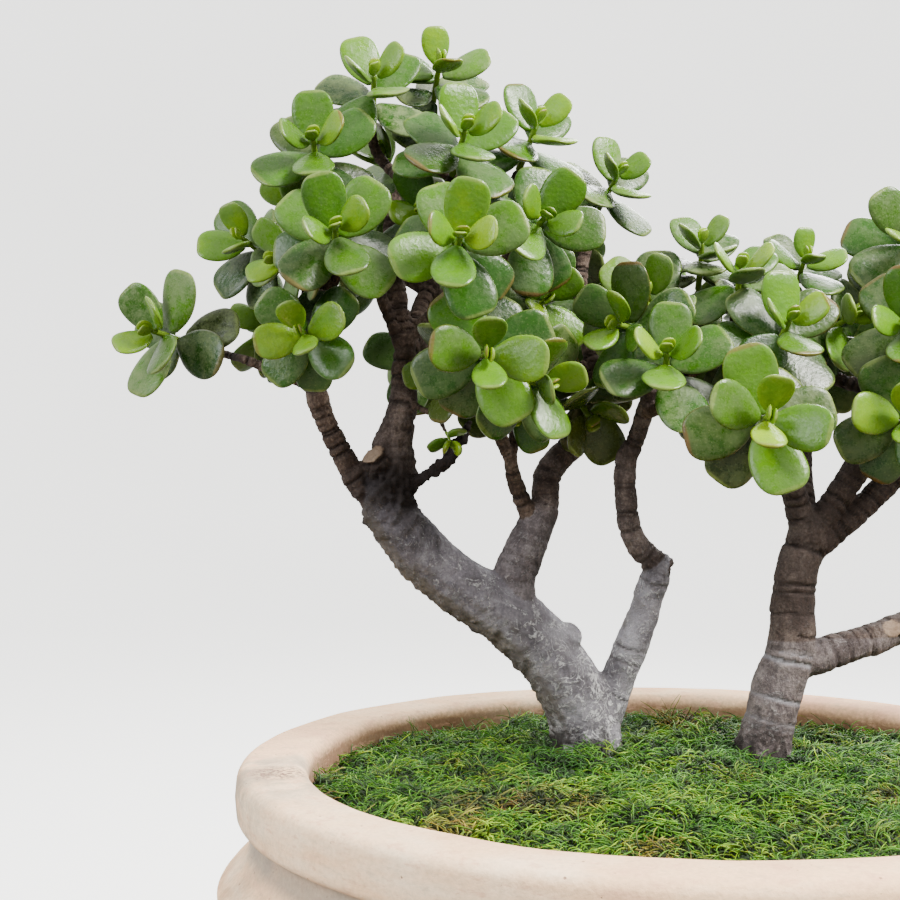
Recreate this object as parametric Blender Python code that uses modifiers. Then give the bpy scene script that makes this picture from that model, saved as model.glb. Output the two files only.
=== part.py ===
"""A potted jade plant: a turned clay pot, its soil and moss, two woody stems and their leafy shoots.

Metres, +Z up. The pot stands on z = 0 with its axis on Z, and its front faces -Y. Each shoot is one
closed body, a stalk with its crossed pairs of leaves, and it sits on the end of its own twig.
Places on the plant are millimetres from the middle of the pot's rim, because it grew there.
"""

import math
from collections import namedtuple

import bmesh
import bpy
from mathutils import Matrix, Vector
from mathutils.bvhtree import BVHTree

MM = 0.001

# Pot: a rim band over a groove, a round shoulder and a straight taper to the foot.
POT_HEIGHT = 0.300
MOUTH_RADIUS = 0.195
RIM_WALL = 0.036
RIM_DEPTH = 0.027
LIP_ROUND = 0.006
GROOVE_DEPTH = 0.009
GROOVE_WIDTH = 0.013
SHOULDER_RADIUS = 0.240
SHOULDER_DROP = 0.075
BODY_WALL = 0.024
FOOT_RADIUS = 0.165
FLOOR_THICKNESS = 0.022
DRAIN_HOLES = 3
DRAIN_RADIUS = 0.008
DRAIN_CIRCLE = 0.045
TURN_STEPS = 48

# Filling.
SOIL_DROP = 0.026
MOSS_EDGE_DROP = 0.014
MOSS_MOUND_DROP = 0.006
MOUND_RADIUS = 0.090
CROCK_RADIUS = 0.026
CROCK_THICKNESS = 0.006
CROCK_UNEVENNESS = 0.09
GAP = 0.0003

# Plant.
LEAF_LENGTH = 0.0355
LEAF_WIDTH = 0.0265
LEAF_THICKNESS = 0.0042
LEAF_BEND = 18.0
STALK_SIDE = 0.0052
STOREY = 0.0052
BARE_STALK = 0.007
TWIG_RADIUS = 0.0029
TWIG_NECK = 0.005
TWIG_TURN = 0.035
TWIG_REACH = 0.030
TWIG_SHARE = 0.85
TWIG_FLARE = 1.7
SLENDER_LIMB = 0.005
ELBOW_ROOM = 0.003
STEM_GIRTH = 1.0
ROOT_DEPTH = 0.070
ROOT_SHOULDER = 0.3
ROOT_TAPER = 0.45
LEAF_CLEARANCE = 0.0007
LEAF_STEPS = 6
CROWDING = 2.2

# Along a leaf from base to tip: the share of its length, and its width there as a share of the widest.
LEAF_STATIONS = ((0.36, 0.93), (0.76, 0.95), (1.0, 0.42))

# The two stems. Each limb is the stem it belongs to and its (x, y, height above the rim, radius).
LIMBS = {
    "left_trunk": ("left", [(-43, 65, -6, 20.4), (-50, 64, 21, 19.5), (-66, 62, 45, 18.6),
                            (-87, 59, 67, 17.9), (-112, 55, 82, 16.9), (-136, 50, 101, 16.0),
                            (-149, 46, 117, 15.6), (-156, 44, 131, 14.8), (-158, 43, 143, 12.6)]),
    "left_knob": ("left", [(-56, 62, 52, 9.0), (-51, 57, 58, 7.0)]),
    "left_limb": ("left", [(-160, 43, 130, 8.6), (-172, 41, 144, 7.5), (-179, 39, 155, 6.9),
                           (-186, 36, 169, 6.1), (-191, 33, 181, 6.0), (-194, 31, 192, 6.2),
                           (-195, 30, 207, 5.7), (-194, 30, 223, 5.2), (-197, 30, 240, 4.7),
                           (-201, 28, 256, 4.2)]),
    "far_left_limb": ("left", [(-194, 31, 194, 3.9), (-203, 30, 198, 3.4), (-212, 28, 202, 3.2),
                               (-223, 25, 206, 3.0), (-233, 22, 210, 2.9)]),
    "middle_limb": ("left", [(-153, 44, 136, 12.4), (-152, 45, 152, 12.2), (-152, 45, 163, 11.6),
                             (-149, 46, 177, 9.5), (-147, 46, 190, 8.1), (-147, 47, 205, 7.0),
                             (-146, 48, 222, 6.7), (-150, 50, 239, 6.4), (-152, 52, 259, 5.9),
                             (-154, 54, 279, 5.3), (-152, 56, 299, 4.9), (-142, 57, 310, 4.6),
                             (-131, 56, 322, 4.2), (-121, 50, 331, 3.8)]),
    "middle_left_fork": ("left", [(-147, 47, 214, 4.2), (-154, 44, 232, 3.7), (-159, 40, 245, 3.6),
                                  (-163, 33, 260, 3.3)]),
    "middle_right_fork": ("left", [(-146, 48, 220, 4.2), (-136, 48, 232, 3.7), (-127, 45, 239, 3.5),
                                   (-117, 36, 246, 3.3), (-111, 20, 254, 3.1)]),
    "back_limb": ("left", [(-147, 47, 196, 6.4), (-143, 70, 225, 5.8), (-134, 98, 255, 5.2),
                           (-120, 120, 284, 4.4)]),
    "cut_stub": ("left", [(-154, 43, 139, 8.4), (-160, 38, 151, 7.4), (-164, 34, 158, 7.0)]),
    "dead_twig": ("left", [(-147, 42, 136, 4.6), (-138, 39, 144, 3.9), (-128, 37, 150, 3.6),
                           (-122, 36, 156, 3.3), (-118, 35, 163, 3.3), (-114, 34, 169, 3.0),
                           (-110, 33, 177, 2.2)]),
    "green_sprout": ("left", [(-144, 45, 189, 2.4), (-138, 38, 184, 2.0), (-130, 34, 180, 1.9),
                              (-124, 33, 177, 1.9)]),
    "second_limb": ("left", [(-85, 58, 74, 13.4), (-85, 60, 88, 12.4), (-80, 63, 100, 12.2),
                             (-75, 66, 112, 11.5), (-69, 68, 122, 9.6), (-66, 70, 131, 8.0),
                             (-66, 72, 139, 8.0), (-64, 74, 148, 8.4), (-58, 76, 156, 8.2),
                             (-50, 79, 163, 7.6), (-40, 82, 174, 6.7), (-36, 85, 190, 5.8),
                             (-37, 90, 210, 5.3), (-42, 98, 238, 4.8), (-43, 106, 264, 4.4),
                             (-38, 111, 288, 4.0)]),
    "second_stub": ("left", [(-73, 67, 113, 6.6), (-77, 64, 125, 5.3), (-81, 61, 134, 5.1),
                             (-85, 57, 144, 4.8), (-87, 50, 154, 4.2)]),
    "right_prong": ("left", [(-37, 66, 0, 11.8), (-27, 65, 25, 10.2), (-20, 63, 44, 9.7),
                             (-13, 61, 63, 8.9), (-9, 60, 76, 8.6), (-5, 58, 88, 8.6),
                             (-2, 57, 95, 7.4)]),
    "kinked_limb": ("left", [(3, 57, 93, 6.0), (-6, 57, 98, 7.2), (-15, 56, 107, 7.1),
                             (-20, 55, 118, 6.8), (-22, 54, 132, 6.5), (-23, 53, 145, 6.5),
                             (-22, 52, 156, 6.2), (-17, 48, 167, 5.6), (-13, 42, 182, 5.0),
                             (-10, 32, 196, 4.4)]),
    "right_trunk": ("right", [(54, 48, -8, 16.2), (58, 48, 11, 15.0), (63, 48, 28, 14.6),
                              (67, 48, 43, 14.2), (70, 48, 60, 13.0), (71, 48, 77, 12.6),
                              (73, 48, 94, 12.3), (77, 48, 108, 11.7), (79, 47, 122, 9.8)]),
    "front_limb": ("right", [(78, 47, 112, 9.0), (72, 45, 131, 7.9), (66, 40, 145, 7.0),
                             (60, 30, 158, 5.8), (54, 14, 168, 4.6)]),
    "upright_limb": ("right", [(80, 48, 113, 8.6), (95, 50, 133, 7.8), (106, 52, 148, 7.9),
                               (113, 54, 162, 7.8), (121, 57, 178, 7.2), (127, 60, 193, 6.8),
                               (134, 62, 212, 6.2), (138, 62, 232, 5.6), (137, 61, 252, 4.8)]),
    "side_limb": ("right", [(77, 49, 103, 9.6), (95, 52, 115, 7.7), (107, 55, 124, 7.6),
                            (118, 58, 134, 7.6), (131, 62, 145, 7.4), (148, 68, 158, 6.8),
                            (164, 72, 175, 6.1), (172, 74, 195, 5.0)]),
    "low_limb": ("right", [(68, 48, 40, 9.8), (87, 52, 45, 9.8), (102, 57, 49, 9.6),
                           (118, 62, 53, 9.4), (131, 66, 57, 9.3), (148, 72, 63, 8.4),
                           (167, 78, 73, 7.2), (184, 80, 91, 5.4)]),
    "behind_limb": ("right", [(79, 50, 112, 8.0), (82, 74, 140, 6.8), (88, 98, 168, 5.8),
                              (92, 114, 196, 4.6)]),
}
TRUNKS = {"left": "left_trunk", "right": "right_trunk"}

Shoot = namedtuple("Shoot", "name limb tip azimuth elevation roll size pairs")

# Tip: (x, y, height above the rim). Azimuth 0 looks to the front and 90 to +X; roll turns the first
# pair of leaves from level. The first pair is the youngest. Shoots grow in this order.
SHOOTS = [Shoot(*row) for row in (
    ("front_centre", "middle_right_fork", (-116, -50, 266), 5, 12, 175, 1.0, 5),
    ("front_right", "front_limb", (34, -60, 177), 0, 8, 80, 1.05, 5),
    ("front_left", "middle_left_fork", (-179, -30, 273), 5, 15, 25, 1.0, 5),
    ("low_centre", "second_stub", (-102, -35, 209), 5, -2, 90, 1.05, 5),
    ("far_left", "far_left_limb", (-282, 20, 225), -35, 10, 45, 1.0, 5),
    ("centre_right", "middle_right_fork", (-71, 0, 283), 15, 12, -30, 1.0, 5),
    ("crown_middle", "middle_limb", (-113, -5, 328), 15, 35, 10, 1.0, 5),
    ("right_centre", "kinked_limb", (-9, -15, 211), -5, 35, 0, 1.0, 5),
    ("right_front", "front_limb", (58, 0, 229), 10, 35, 10, 1.0, 5),
    ("low_left", "left_limb", (-198, -12, 222), -10, 5, 115, 0.86, 5),
    ("low_centre_right", "second_stub", (-72, -16, 195), 35, -5, 20, 1.0, 5),
    ("upper_left", "left_limb", (-194, 10, 326), 0, 28, 10, 1.0, 5),
    ("left_middle", "left_limb", (-236, 40, 278), -30, 20, 110, 0.92, 5),
    ("crown_left", "middle_limb", (-163, 40, 368), 5, 42, 30, 1.0, 5),
    ("crown_top", "middle_limb", (-127, 64, 380), 12, 42, 100, 1.0, 5),
    ("crown_right", "middle_limb", (-72, 50, 344), 25, 45, 20, 1.0, 5),
    ("behind_centre", "second_limb", (-12, 35, 246), -15, 35, 60, 1.05, 5),
    ("right_upper", "kinked_limb", (22, 60, 278), 0, 60, 30, 0.9, 5),
    ("right_middle", "kinked_limb", (38, 30, 260), 0, 50, 0, 0.95, 5),
    ("edge_low", "side_limb", (122, 10, 178), -10, 8, 90, 1.0, 5),
    ("edge_middle", "upright_limb", (126, 20, 230), -20, 15, 10, 1.05, 5),
    ("edge_high", "upright_limb", (141, 60, 284), -10, 25, 45, 1.05, 5),
    ("left_fold", "left_limb", (-212, 8, 262), -60, 5, 40, 0.9, 4),
    ("far_upper_right", "second_limb", (-19, 116, 327), 30, 40, 10, 0.95, 5),
    ("right_high", "upright_limb", (83, 70, 271), 10, 45, 90, 0.8, 5),
    ("right_heart", "front_limb", (28, 28, 221), -40, 30, 75, 1.0, 4),
    ("right_outer", "upright_limb", (106, 60, 236), 40, 25, 0, 1.0, 4),
    ("centre_heart", "kinked_limb", (-33, 2, 227), -40, 5, 60, 0.95, 4),
    ("crown_left_low", "middle_limb", (-160, 85, 332), -30, 45, 45, 1.0, 4),
    ("centre_back_left", "middle_limb", (-135, 25, 291), -20, 10, 20, 0.95, 4),
    ("olive_left", "middle_right_fork", (-126, 14, 203), -50, -15, 0, 0.95, 4),
    ("dark_centre", "middle_right_fork", (-68, 40, 244), 15, 10, 45, 1.0, 4),
    ("hanging_centre", "second_stub", (-84, 36, 181), -10, -40, 0, 1.0, 4),
    ("hanging_right", "second_limb", (-43, 50, 179), 20, -35, 45, 1.1, 4),
    ("dark_right", "front_limb", (25, 61, 191), -40, 5, 95, 0.95, 4),
    ("right_end", "side_limb", (204, 62, 214), 45, 30, 30, 1.0, 5),
    ("right_end_front", "side_limb", (176, 14, 214), 15, 25, 60, 1.0, 5),
    ("right_top", "upright_limb", (172, 98, 280), 75, 45, 20, 1.0, 5),
    ("right_low_end", "low_limb", (213, 76, 128), 60, 35, 45, 0.95, 5),
    ("right_back", "side_limb", (168, 118, 224), 140, 25, 0, 1.0, 5),
    ("behind_right", "behind_limb", (106, 156, 216), 165, 20, 45, 1.0, 5),
    ("behind_right_top", "behind_limb", (62, 134, 256), 190, 50, 0, 1.0, 5),
    ("back_top", "back_limb", (-108, 152, 316), 165, 50, 30, 1.0, 5),
    ("back_left", "back_limb", (-176, 134, 284), 215, 25, 0, 1.0, 5),
    ("back_middle", "back_limb", (-102, 166, 252), 170, 5, 45, 1.0, 5),
    ("back_low", "back_limb", (-142, 132, 210), 190, -15, 0, 0.95, 4),
    ("back_right", "second_limb", (-44, 156, 286), 150, 25, 20, 1.0, 5),
    ("back_right_low", "second_limb", (-30, 148, 226), 165, 0, 45, 1.0, 5),
    ("back_inner_right", "second_limb", (22, 122, 240), 100, 15, 0, 1.0, 5),
    ("left_behind", "left_limb", (-232, 88, 232), 245, 10, 30, 0.95, 5),
    ("left_behind_top", "left_limb", (-212, 84, 306), 225, 40, 0, 0.95, 4),
    ("sprout", "green_sprout", (-120, 27, 164), 30, -45, 0, 0.42, 2),
)]

# For each pair from the tip down: its opening from the stalk in degrees, its share of full size, and
# its twist in degrees from the cross that it would make with the pair above.
LEAF_PAIRS = ((38, 0.64, 0), (60, 0.86, -8), (77, 1.0, 28), (93, 1.0, 24), (109, 0.92, -28))

# How a leaf gives way to what already grew: (opening, turn) in degrees, tried in order at each size.
GIVE_WAY = tuple((opening, turn) for opening, turn in sorted(
    ((o, t) for o in (0, -10, 10, -20, 20, -32, 32) for t in (0, -12, 12, -24, 24, -36, 36)),
    key=lambda move: (abs(move[0]) + abs(move[1]), move)))
SMALLER = (1.0, 0.9, 0.8, 0.7, 0.6, 0.5, 0.4, 0.3, 0.2)

Leaf = namedtuple("Leaf", "foot axis out opening length width thickness")


def clear_scene():
    for thing in list(bpy.data.objects):
        bpy.data.objects.remove(thing)


def new_collection(name):
    collection = bpy.data.collections.new(name)
    bpy.context.scene.collection.children.link(collection)
    return collection


def finish_material(name, colour, roughness):
    material = bpy.data.materials.new(name)
    material.use_nodes = True
    shader = material.node_tree.nodes["Principled BSDF"]
    shader.inputs["Base Color"].default_value = (*colour, 1.0)
    shader.inputs["Roughness"].default_value = roughness
    material.diffuse_color = (*colour, 1.0)
    return material


def add_object(name, data, collection, material=None):
    thing = bpy.data.objects.new(name, data)
    collection.objects.link(thing)
    if material:
        data.materials.append(material)
    return thing


def evaluated_mesh(thing):
    depsgraph = bpy.context.evaluated_depsgraph_get()
    return bpy.data.meshes.new_from_object(thing.evaluated_get(depsgraph))


def settle(thing):
    """Makes an object's modifiers part of its mesh."""
    mesh = evaluated_mesh(thing)
    thing.modifiers.clear()
    old = thing.data
    thing.data = mesh
    bpy.data.meshes.remove(old)
    return thing


def hide_cutter(thing):
    thing.hide_render = True
    thing.display_type = "WIRE"


def cut(thing, cutter):
    modifier = thing.modifiers.new("cut_" + cutter.name, "BOOLEAN")
    modifier.operation = "DIFFERENCE"
    modifier.object = cutter


def shade_round(thing, angle):
    thing.data.shade_smooth()
    thing.data.set_sharp_from_angle(angle=math.radians(angle))


# Turned pieces: a profile of (radius, height) from the axis, up the inside and down the outside.

def turned(name, profile, collection, material):
    mesh = bpy.data.meshes.new(name)
    edges = [(i, i + 1) for i in range(len(profile) - 1)]
    mesh.from_pydata([(radius, 0.0, height) for radius, height in profile], edges, [])
    thing = add_object(name, mesh, collection, material)
    screw = thing.modifiers.new("turn", "SCREW")
    screw.steps = screw.render_steps = TURN_STEPS
    screw.use_merge_vertices = True
    screw.merge_threshold = 0.00001
    settle(thing)
    shade_round(thing, 40)
    return thing


def cavity_radius(height):
    """The pot's inside radius at a height: upright in the rim, wider at the shoulder, then tapering."""
    neck = POT_HEIGHT - RIM_DEPTH - GROOVE_WIDTH
    shoulder = POT_HEIGHT - SHOULDER_DROP
    wide = SHOULDER_RADIUS - BODY_WALL
    low = FOOT_RADIUS - BODY_WALL
    if height >= neck:
        return MOUTH_RADIUS
    if height >= shoulder:
        return wide + (MOUTH_RADIUS - wide) * (height - shoulder) / (neck - shoulder)
    return low + (wide - low) * (height - FLOOR_THICKNESS) / (shoulder - FLOOR_THICKNESS)


def pot_profile():
    top, mouth = POT_HEIGHT, MOUTH_RADIUS
    rim, neck = mouth + RIM_WALL, POT_HEIGHT - RIM_DEPTH - GROOVE_WIDTH
    shoulder, groove = POT_HEIGHT - SHOULDER_DROP, mouth + RIM_WALL - GROOVE_DEPTH
    lip = LIP_ROUND
    inside = [(0.0, FLOOR_THICKNESS), (FOOT_RADIUS - BODY_WALL, FLOOR_THICKNESS),
              (cavity_radius(shoulder), shoulder), (mouth, neck)]
    band = [(mouth, top - lip), (mouth + 0.3 * lip, top - 0.3 * lip), (mouth + lip, top),
            (rim - 2 * lip, top), (rim - 0.7 * lip, top - 0.5 * lip), (rim, top - 2 * lip),
            (rim, top - RIM_DEPTH + lip), (rim - lip, top - RIM_DEPTH)]
    body = [(groove, neck + 0.4 * GROOVE_WIDTH), (groove + 0.4 * GROOVE_DEPTH, neck),
            (SHOULDER_RADIUS - 0.005, neck - 0.35 * (neck - shoulder)),
            (SHOULDER_RADIUS, shoulder), (FOOT_RADIUS + 0.003, 0.004), (FOOT_RADIUS, 0.0)]
    return inside + band + body + [(0.0, 0.0)]


def drain_places():
    for k in range(DRAIN_HOLES):
        turn = math.radians(90 + 360 * k / DRAIN_HOLES)
        yield Vector((DRAIN_CIRCLE * math.cos(turn), DRAIN_CIRCLE * math.sin(turn), 0.0))


def build_pot(parts, cutters):
    clay = finish_material("clay", (0.72, 0.55, 0.42), 0.85)
    pot = turned("pot", pot_profile(), parts, clay)
    for k, place in enumerate(drain_places()):
        bpy.ops.mesh.primitive_cylinder_add(
            vertices=20, radius=DRAIN_RADIUS, depth=3 * FLOOR_THICKNESS, location=place)
        hole = bpy.context.object
        hole.name = f"drain_cutter_{k + 1}"
        for owner in list(hole.users_collection):
            owner.objects.unlink(hole)
        cutters.objects.link(hole)
        hide_cutter(hole)
        cut(pot, hole)
    return pot


def shard(name, place, turn, grow, collection, material=None):
    """A broken piece of pot: a plate with five uneven corners, lying over a drainage hole."""
    bm = bmesh.new()
    face = bmesh.ops.create_circle(bm, cap_ends=True, segments=5, radius=CROCK_RADIUS + grow)
    for k, vert in enumerate(face["verts"]):
        vert.co *= 1.0 - CROCK_UNEVENNESS * (k % 3) * (CROCK_RADIUS / (CROCK_RADIUS + grow))
    plate = bmesh.ops.extrude_face_region(bm, geom=list(bm.faces))
    raised = [part for part in plate["geom"] if isinstance(part, bmesh.types.BMVert)]
    bmesh.ops.translate(bm, verts=raised, vec=(0, 0, CROCK_THICKNESS + 2 * grow))
    bmesh.ops.recalc_face_normals(bm, faces=bm.faces)
    mesh = bpy.data.meshes.new(name)
    bm.to_mesh(mesh)
    bm.free()
    thing = add_object(name, mesh, collection, material)
    thing.location = place + Vector((0, 0, FLOOR_THICKNESS + GAP - grow))
    thing.rotation_euler = (0, 0, turn)
    return thing


def build_crocks(parts, cutters):
    clay = finish_material("broken_clay", (0.62, 0.36, 0.24), 0.9)
    pockets = []
    for k, place in enumerate(drain_places()):
        shard(f"crock_{k + 1}", place, 1.3 * k, 0.0, parts, clay)
        pocket = shard(f"crock_cutter_{k + 1}", place, 1.3 * k, GAP, cutters)
        hide_cutter(pocket)
        pockets.append(pocket)
    return pockets


def build_soil(parts, pockets, root_cutters):
    shoulder, neck = POT_HEIGHT - SHOULDER_DROP, POT_HEIGHT - RIM_DEPTH - GROOVE_WIDTH
    low, high = FLOOR_THICKNESS + GAP, POT_HEIGHT - SOIL_DROP
    heights = [high, neck, shoulder, low]
    wall = 2 * GAP
    profile = [(0.0, high)] + [(cavity_radius(h) - wall, h) for h in heights] + [(0.0, low)]
    soil = turned("soil", profile, parts, finish_material("soil", (0.09, 0.06, 0.04), 1.0))
    for cutter in pockets + root_cutters:
        cut(soil, cutter)
    settle(soil)
    return soil


def build_moss(parts, root_cutters):
    low = POT_HEIGHT - SOIL_DROP + GAP
    edge = MOUTH_RADIUS - 2 * GAP
    middle = 0.5 * (MOSS_EDGE_DROP + MOSS_MOUND_DROP)
    profile = [(0.0, POT_HEIGHT - MOSS_MOUND_DROP), (MOUND_RADIUS, POT_HEIGHT - MOSS_MOUND_DROP),
               (0.5 * (MOUND_RADIUS + edge), POT_HEIGHT - middle),
               (edge, POT_HEIGHT - MOSS_EDGE_DROP), (edge, low), (0.0, low)]
    moss = turned("moss_mat", profile, parts, finish_material("moss", (0.20, 0.38, 0.07), 0.95))
    for cutter in root_cutters:
        cut(moss, cutter)
    settle(moss)
    return moss


# Stems: tapering round limbs along their routes, joined into one body for each stem.

def planted(place):
    """A place given in millimetres from the middle of the rim, in the part's own frame."""
    x, y, height = place[:3]
    return Vector((x * MM, y * MM, POT_HEIGHT + height * MM))


def limb_route(name):
    """The limb's points and radii, with the root of a trunk carried down into the soil."""
    points = [planted(knot) for knot in LIMBS[name][1]]
    radii = [knot[3] * MM * STEM_GIRTH for knot in LIMBS[name][1]]
    if name in TRUNKS.values():
        foot = points[0].copy()
        points[:0] = [foot - Vector((0, 0, ROOT_DEPTH)),
                      foot - Vector((0, 0, ROOT_SHOULDER * ROOT_DEPTH))]
        radii[:0] = [ROOT_TAPER * radii[0], radii[0]]
    return points, radii


def shoot_frame(shoot):
    """Unit vectors of a shoot: towards its side, towards its top, and out along its stalk."""
    azimuth, elevation = math.radians(shoot.azimuth), math.radians(shoot.elevation)
    axis = Vector((math.cos(elevation) * math.sin(azimuth),
                   -math.cos(elevation) * math.cos(azimuth), math.sin(elevation)))
    side = Vector((math.cos(azimuth), math.sin(azimuth), 0.0))
    return side, axis.cross(side), axis


def storeys(shoot):
    return STOREY * max(shoot.size, 0.6)


def stalk_foot(shoot):
    axis = shoot_frame(shoot)[2]
    return planted(shoot.tip) - axis * (storeys(shoot) * shoot.pairs + BARE_STALK * shoot.size)


def twig_route(shoot):
    """A twig that leaves its limb and turns into line with the stalk that it carries."""
    axis = shoot_frame(shoot)[2]
    end = stalk_foot(shoot) - axis * GAP
    neck = end - axis * TWIG_NECK
    points, radii = limb_route(shoot.limb)
    first = len(points) // 3
    aim = end - axis * TWIG_REACH
    k = min(range(first, len(points)), key=lambda i: (points[i] - aim).length)
    start = points[k]
    turn = neck - axis * min(0.5 * (neck - start).length, TWIG_TURN)
    tip = TWIG_RADIUS * max(shoot.size, 0.5)
    thick = min(TWIG_SHARE * radii[k], TWIG_FLARE * tip)
    route, girths = [], []
    for step in range(4):
        t = step / 3
        route.append(start * (1 - t) ** 2 + turn * 2 * t * (1 - t) + neck * t * t)
        girths.append(thick + (tip - thick) * t)
    return route + [end], girths + [tip]


def tube(name, route, radii, collection, resolution=2):
    """A tapering closed tube along a route, made a mesh so that Booleans can use it."""
    curve = bpy.data.curves.new(name, "CURVE")
    curve.dimensions = "3D"
    curve.bevel_depth = 1.0
    curve.bevel_resolution = resolution
    curve.use_fill_caps = True
    spline = curve.splines.new("POLY")
    spline.points.add(len(route) - 1)
    for point, place, radius in zip(spline.points, route, radii):
        point.co = (*place, 1.0)
        point.radius = radius
    guide = bpy.data.objects.new(name + "_guide", curve)
    collection.objects.link(guide)
    bpy.context.view_layer.update()
    mesh = evaluated_mesh(guide)
    bpy.data.objects.remove(guide)
    bpy.data.curves.remove(curve)
    bm = bmesh.new()
    bm.from_mesh(mesh)
    bmesh.ops.remove_doubles(bm, verts=bm.verts, dist=0.00001)
    bmesh.ops.recalc_face_normals(bm, faces=bm.faces)
    bm.to_mesh(mesh)
    bm.free()
    return add_object(name, mesh, collection)


def root_cutter(stem, cutters):
    """The hole a trunk needs through the moss and soil: the trunk's own tube, grown by the gap."""
    points, radii = limb_route(TRUNKS[stem])
    points, radii = points[:5], [radius + 2 * GAP for radius in radii[:5]]
    points[0] = points[0] - Vector((0, 0, 2 * GAP))
    cutter = tube(stem + "_root_cutter", points, radii, cutters)
    hide_cutter(cutter)
    return cutter


def build_stem(stem, parts):
    """One woody stem: its trunk, joined with its limbs and with the twig of each of its shoots."""
    bark = finish_material(stem + "_bark", (0.24, 0.20, 0.18), 0.9)
    pieces = bpy.data.collections.new(stem + "_limbs")
    bpy.context.scene.collection.children.link(pieces)
    trunk = tube("stem_" + stem, *limb_route(TRUNKS[stem]), parts)
    trunk.data.materials.append(bark)
    for name, (owner, _) in LIMBS.items():
        if owner == stem and name != TRUNKS[stem]:
            route, radii = limb_route(name)
            tube(name, route, radii, pieces, resolution=1 if max(radii) < SLENDER_LIMB else 2)
    for shoot in SHOOTS:
        if LIMBS[shoot.limb][0] == stem:
            tube("twig_" + shoot.name, *twig_route(shoot), pieces, resolution=1)
    union = trunk.modifiers.new("grown_together", "BOOLEAN")
    union.operation = "UNION"
    union.operand_type = "COLLECTION"
    union.collection = pieces
    settle(trunk)
    for piece in list(pieces.objects):
        bpy.data.objects.remove(piece)
    bpy.data.collections.remove(pieces)
    shade_round(trunk, 50)
    return trunk


# Leaves: worked out along a bent midrib, then drawn out of the sides of the stalk.

def leaf_section(leaf, share):
    """The midrib's place at a share of the length, and the leaf's width and upper directions there."""
    bend = math.radians(LEAF_BEND)
    start = math.radians(leaf.opening) + 0.5 * bend
    place = leaf.foot.copy()
    for step in range(LEAF_STEPS):
        angle = start - bend * share * (step + 0.5) / LEAF_STEPS
        chord = leaf.length * share / LEAF_STEPS
        place += (leaf.axis * math.cos(angle) + leaf.out * math.sin(angle)) * chord
    angle = start - bend * share
    upper = leaf.axis * math.sin(angle) - leaf.out * math.cos(angle)
    return place, leaf.axis.cross(leaf.out), upper


def leaf_corners(leaf, share, width_share, grow=0.0):
    place, across, upper = leaf_section(leaf, share)
    half_width = 0.5 * leaf.width * width_share + grow
    half_thick = 0.5 * leaf.thickness + grow
    return [place + across * half_width * a + upper * half_thick * b
            for a, b in ((-1, -1), (1, -1), (1, 1), (-1, 1))]


def leaf_shape(leaf, grow=0.0, from_base=True):
    """A leaf's surface for testing what it meets."""
    base = ((0.0, STALK_SIDE / leaf.width),) if from_base else ((0.22, 0.6),)
    rings = [leaf_corners(leaf, *station, grow) for station in base + LEAF_STATIONS]
    points = [corner for ring in rings for corner in ring]
    faces = [(4 * r + k, 4 * r + (k + 1) % 4, 4 * r + 4 + (k + 1) % 4, 4 * r + 4 + k)
             for r in range(len(rings) - 1) for k in range(4)]
    last = 4 * (len(rings) - 1)
    return BVHTree.FromPolygons(points, faces + [(last, last + 1, last + 2, last + 3)])


def tube_shape(route, radii, sides=8):
    """A limb's surface for testing what meets it, drawn outside its round section."""
    points, faces = [], []
    for k, (place, radius) in enumerate(zip(route, radii)):
        before, after = route[max(k - 1, 0)], route[min(k + 1, len(route) - 1)]
        along = (after - before).normalized()
        side = along.orthogonal().normalized()
        other = along.cross(side)
        for s in range(sides):
            turn = 2 * math.pi * s / sides
            reach = radius / math.cos(math.pi / sides)
            points.append(place + (side * math.cos(turn) + other * math.sin(turn)) * reach)
    for k in range(len(route) - 1):
        for s in range(sides):
            a, b = k * sides + s, k * sides + (s + 1) % sides
            faces.append((a, b, b + sides, a + sides))
    return BVHTree.FromPolygons(points, faces)


def wanted_leaf(shoot, pair, side, move=(0.0, 0.0), scale=1.0):
    """The leaf that a shoot's pair grows on one side, moved and shrunk by what it gives way to."""
    opening, share, twist = LEAF_PAIRS[pair]
    across, up, axis = shoot_frame(shoot)
    turn = math.radians(shoot.roll + 90 * pair)
    face = (across * math.cos(turn) + up * math.sin(turn)) * side
    height = planted(shoot.tip) - axis * storeys(shoot) * (pair + 0.5)
    foot = height + face * 0.5 * STALK_SIDE * shoot.size
    swing = math.radians(twist + move[1])
    out = face * math.cos(swing) + axis.cross(face) * math.sin(swing)
    size = share * shoot.size
    return Leaf(foot, axis, out, opening + move[0], LEAF_LENGTH * size * scale,
                LEAF_WIDTH * size * scale, LEAF_THICKNESS * (0.55 + 0.45 * size) * scale)


def grow_leaves():
    """Every shoot's leaves in growing order, each clear of the stems and of what grew before it."""
    wood = [tube_shape(*limb_route(name)) for name in LIMBS]
    wood += [tube_shape(*twig_route(shoot)) for shoot in SHOOTS]
    stalks = {shoot.name: stalk_shape(shoot, ELBOW_ROOM) for shoot in SHOOTS}
    grown, placed = {}, []
    reach = CROWDING * LEAF_LENGTH
    for shoot in SHOOTS:
        others = wood + [stalk for name, stalk in stalks.items() if name != shoot.name]
        others += [shape for middle, shape in placed
                   if (middle - planted(shoot.tip)).length < reach]
        own, leaves = [stalk_shape(shoot, 0.0)], []
        for pair in range(shoot.pairs):
            for side in (1, -1):
                leaf = fitting_leaf(shoot, pair, side, others, own)
                own.append(leaf_shape(leaf, 0.0, False))
                leaves.append(leaf)
        placed += [(leaf_section(leaf, 0.5)[0], leaf_shape(leaf)) for leaf in leaves]
        grown[shoot.name] = leaves
    return grown


def stalk_shape(shoot, room):
    half = 0.5 * STALK_SIDE * shoot.size + room
    return tube_shape([stalk_foot(shoot), planted(shoot.tip)], [half, half])


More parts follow.
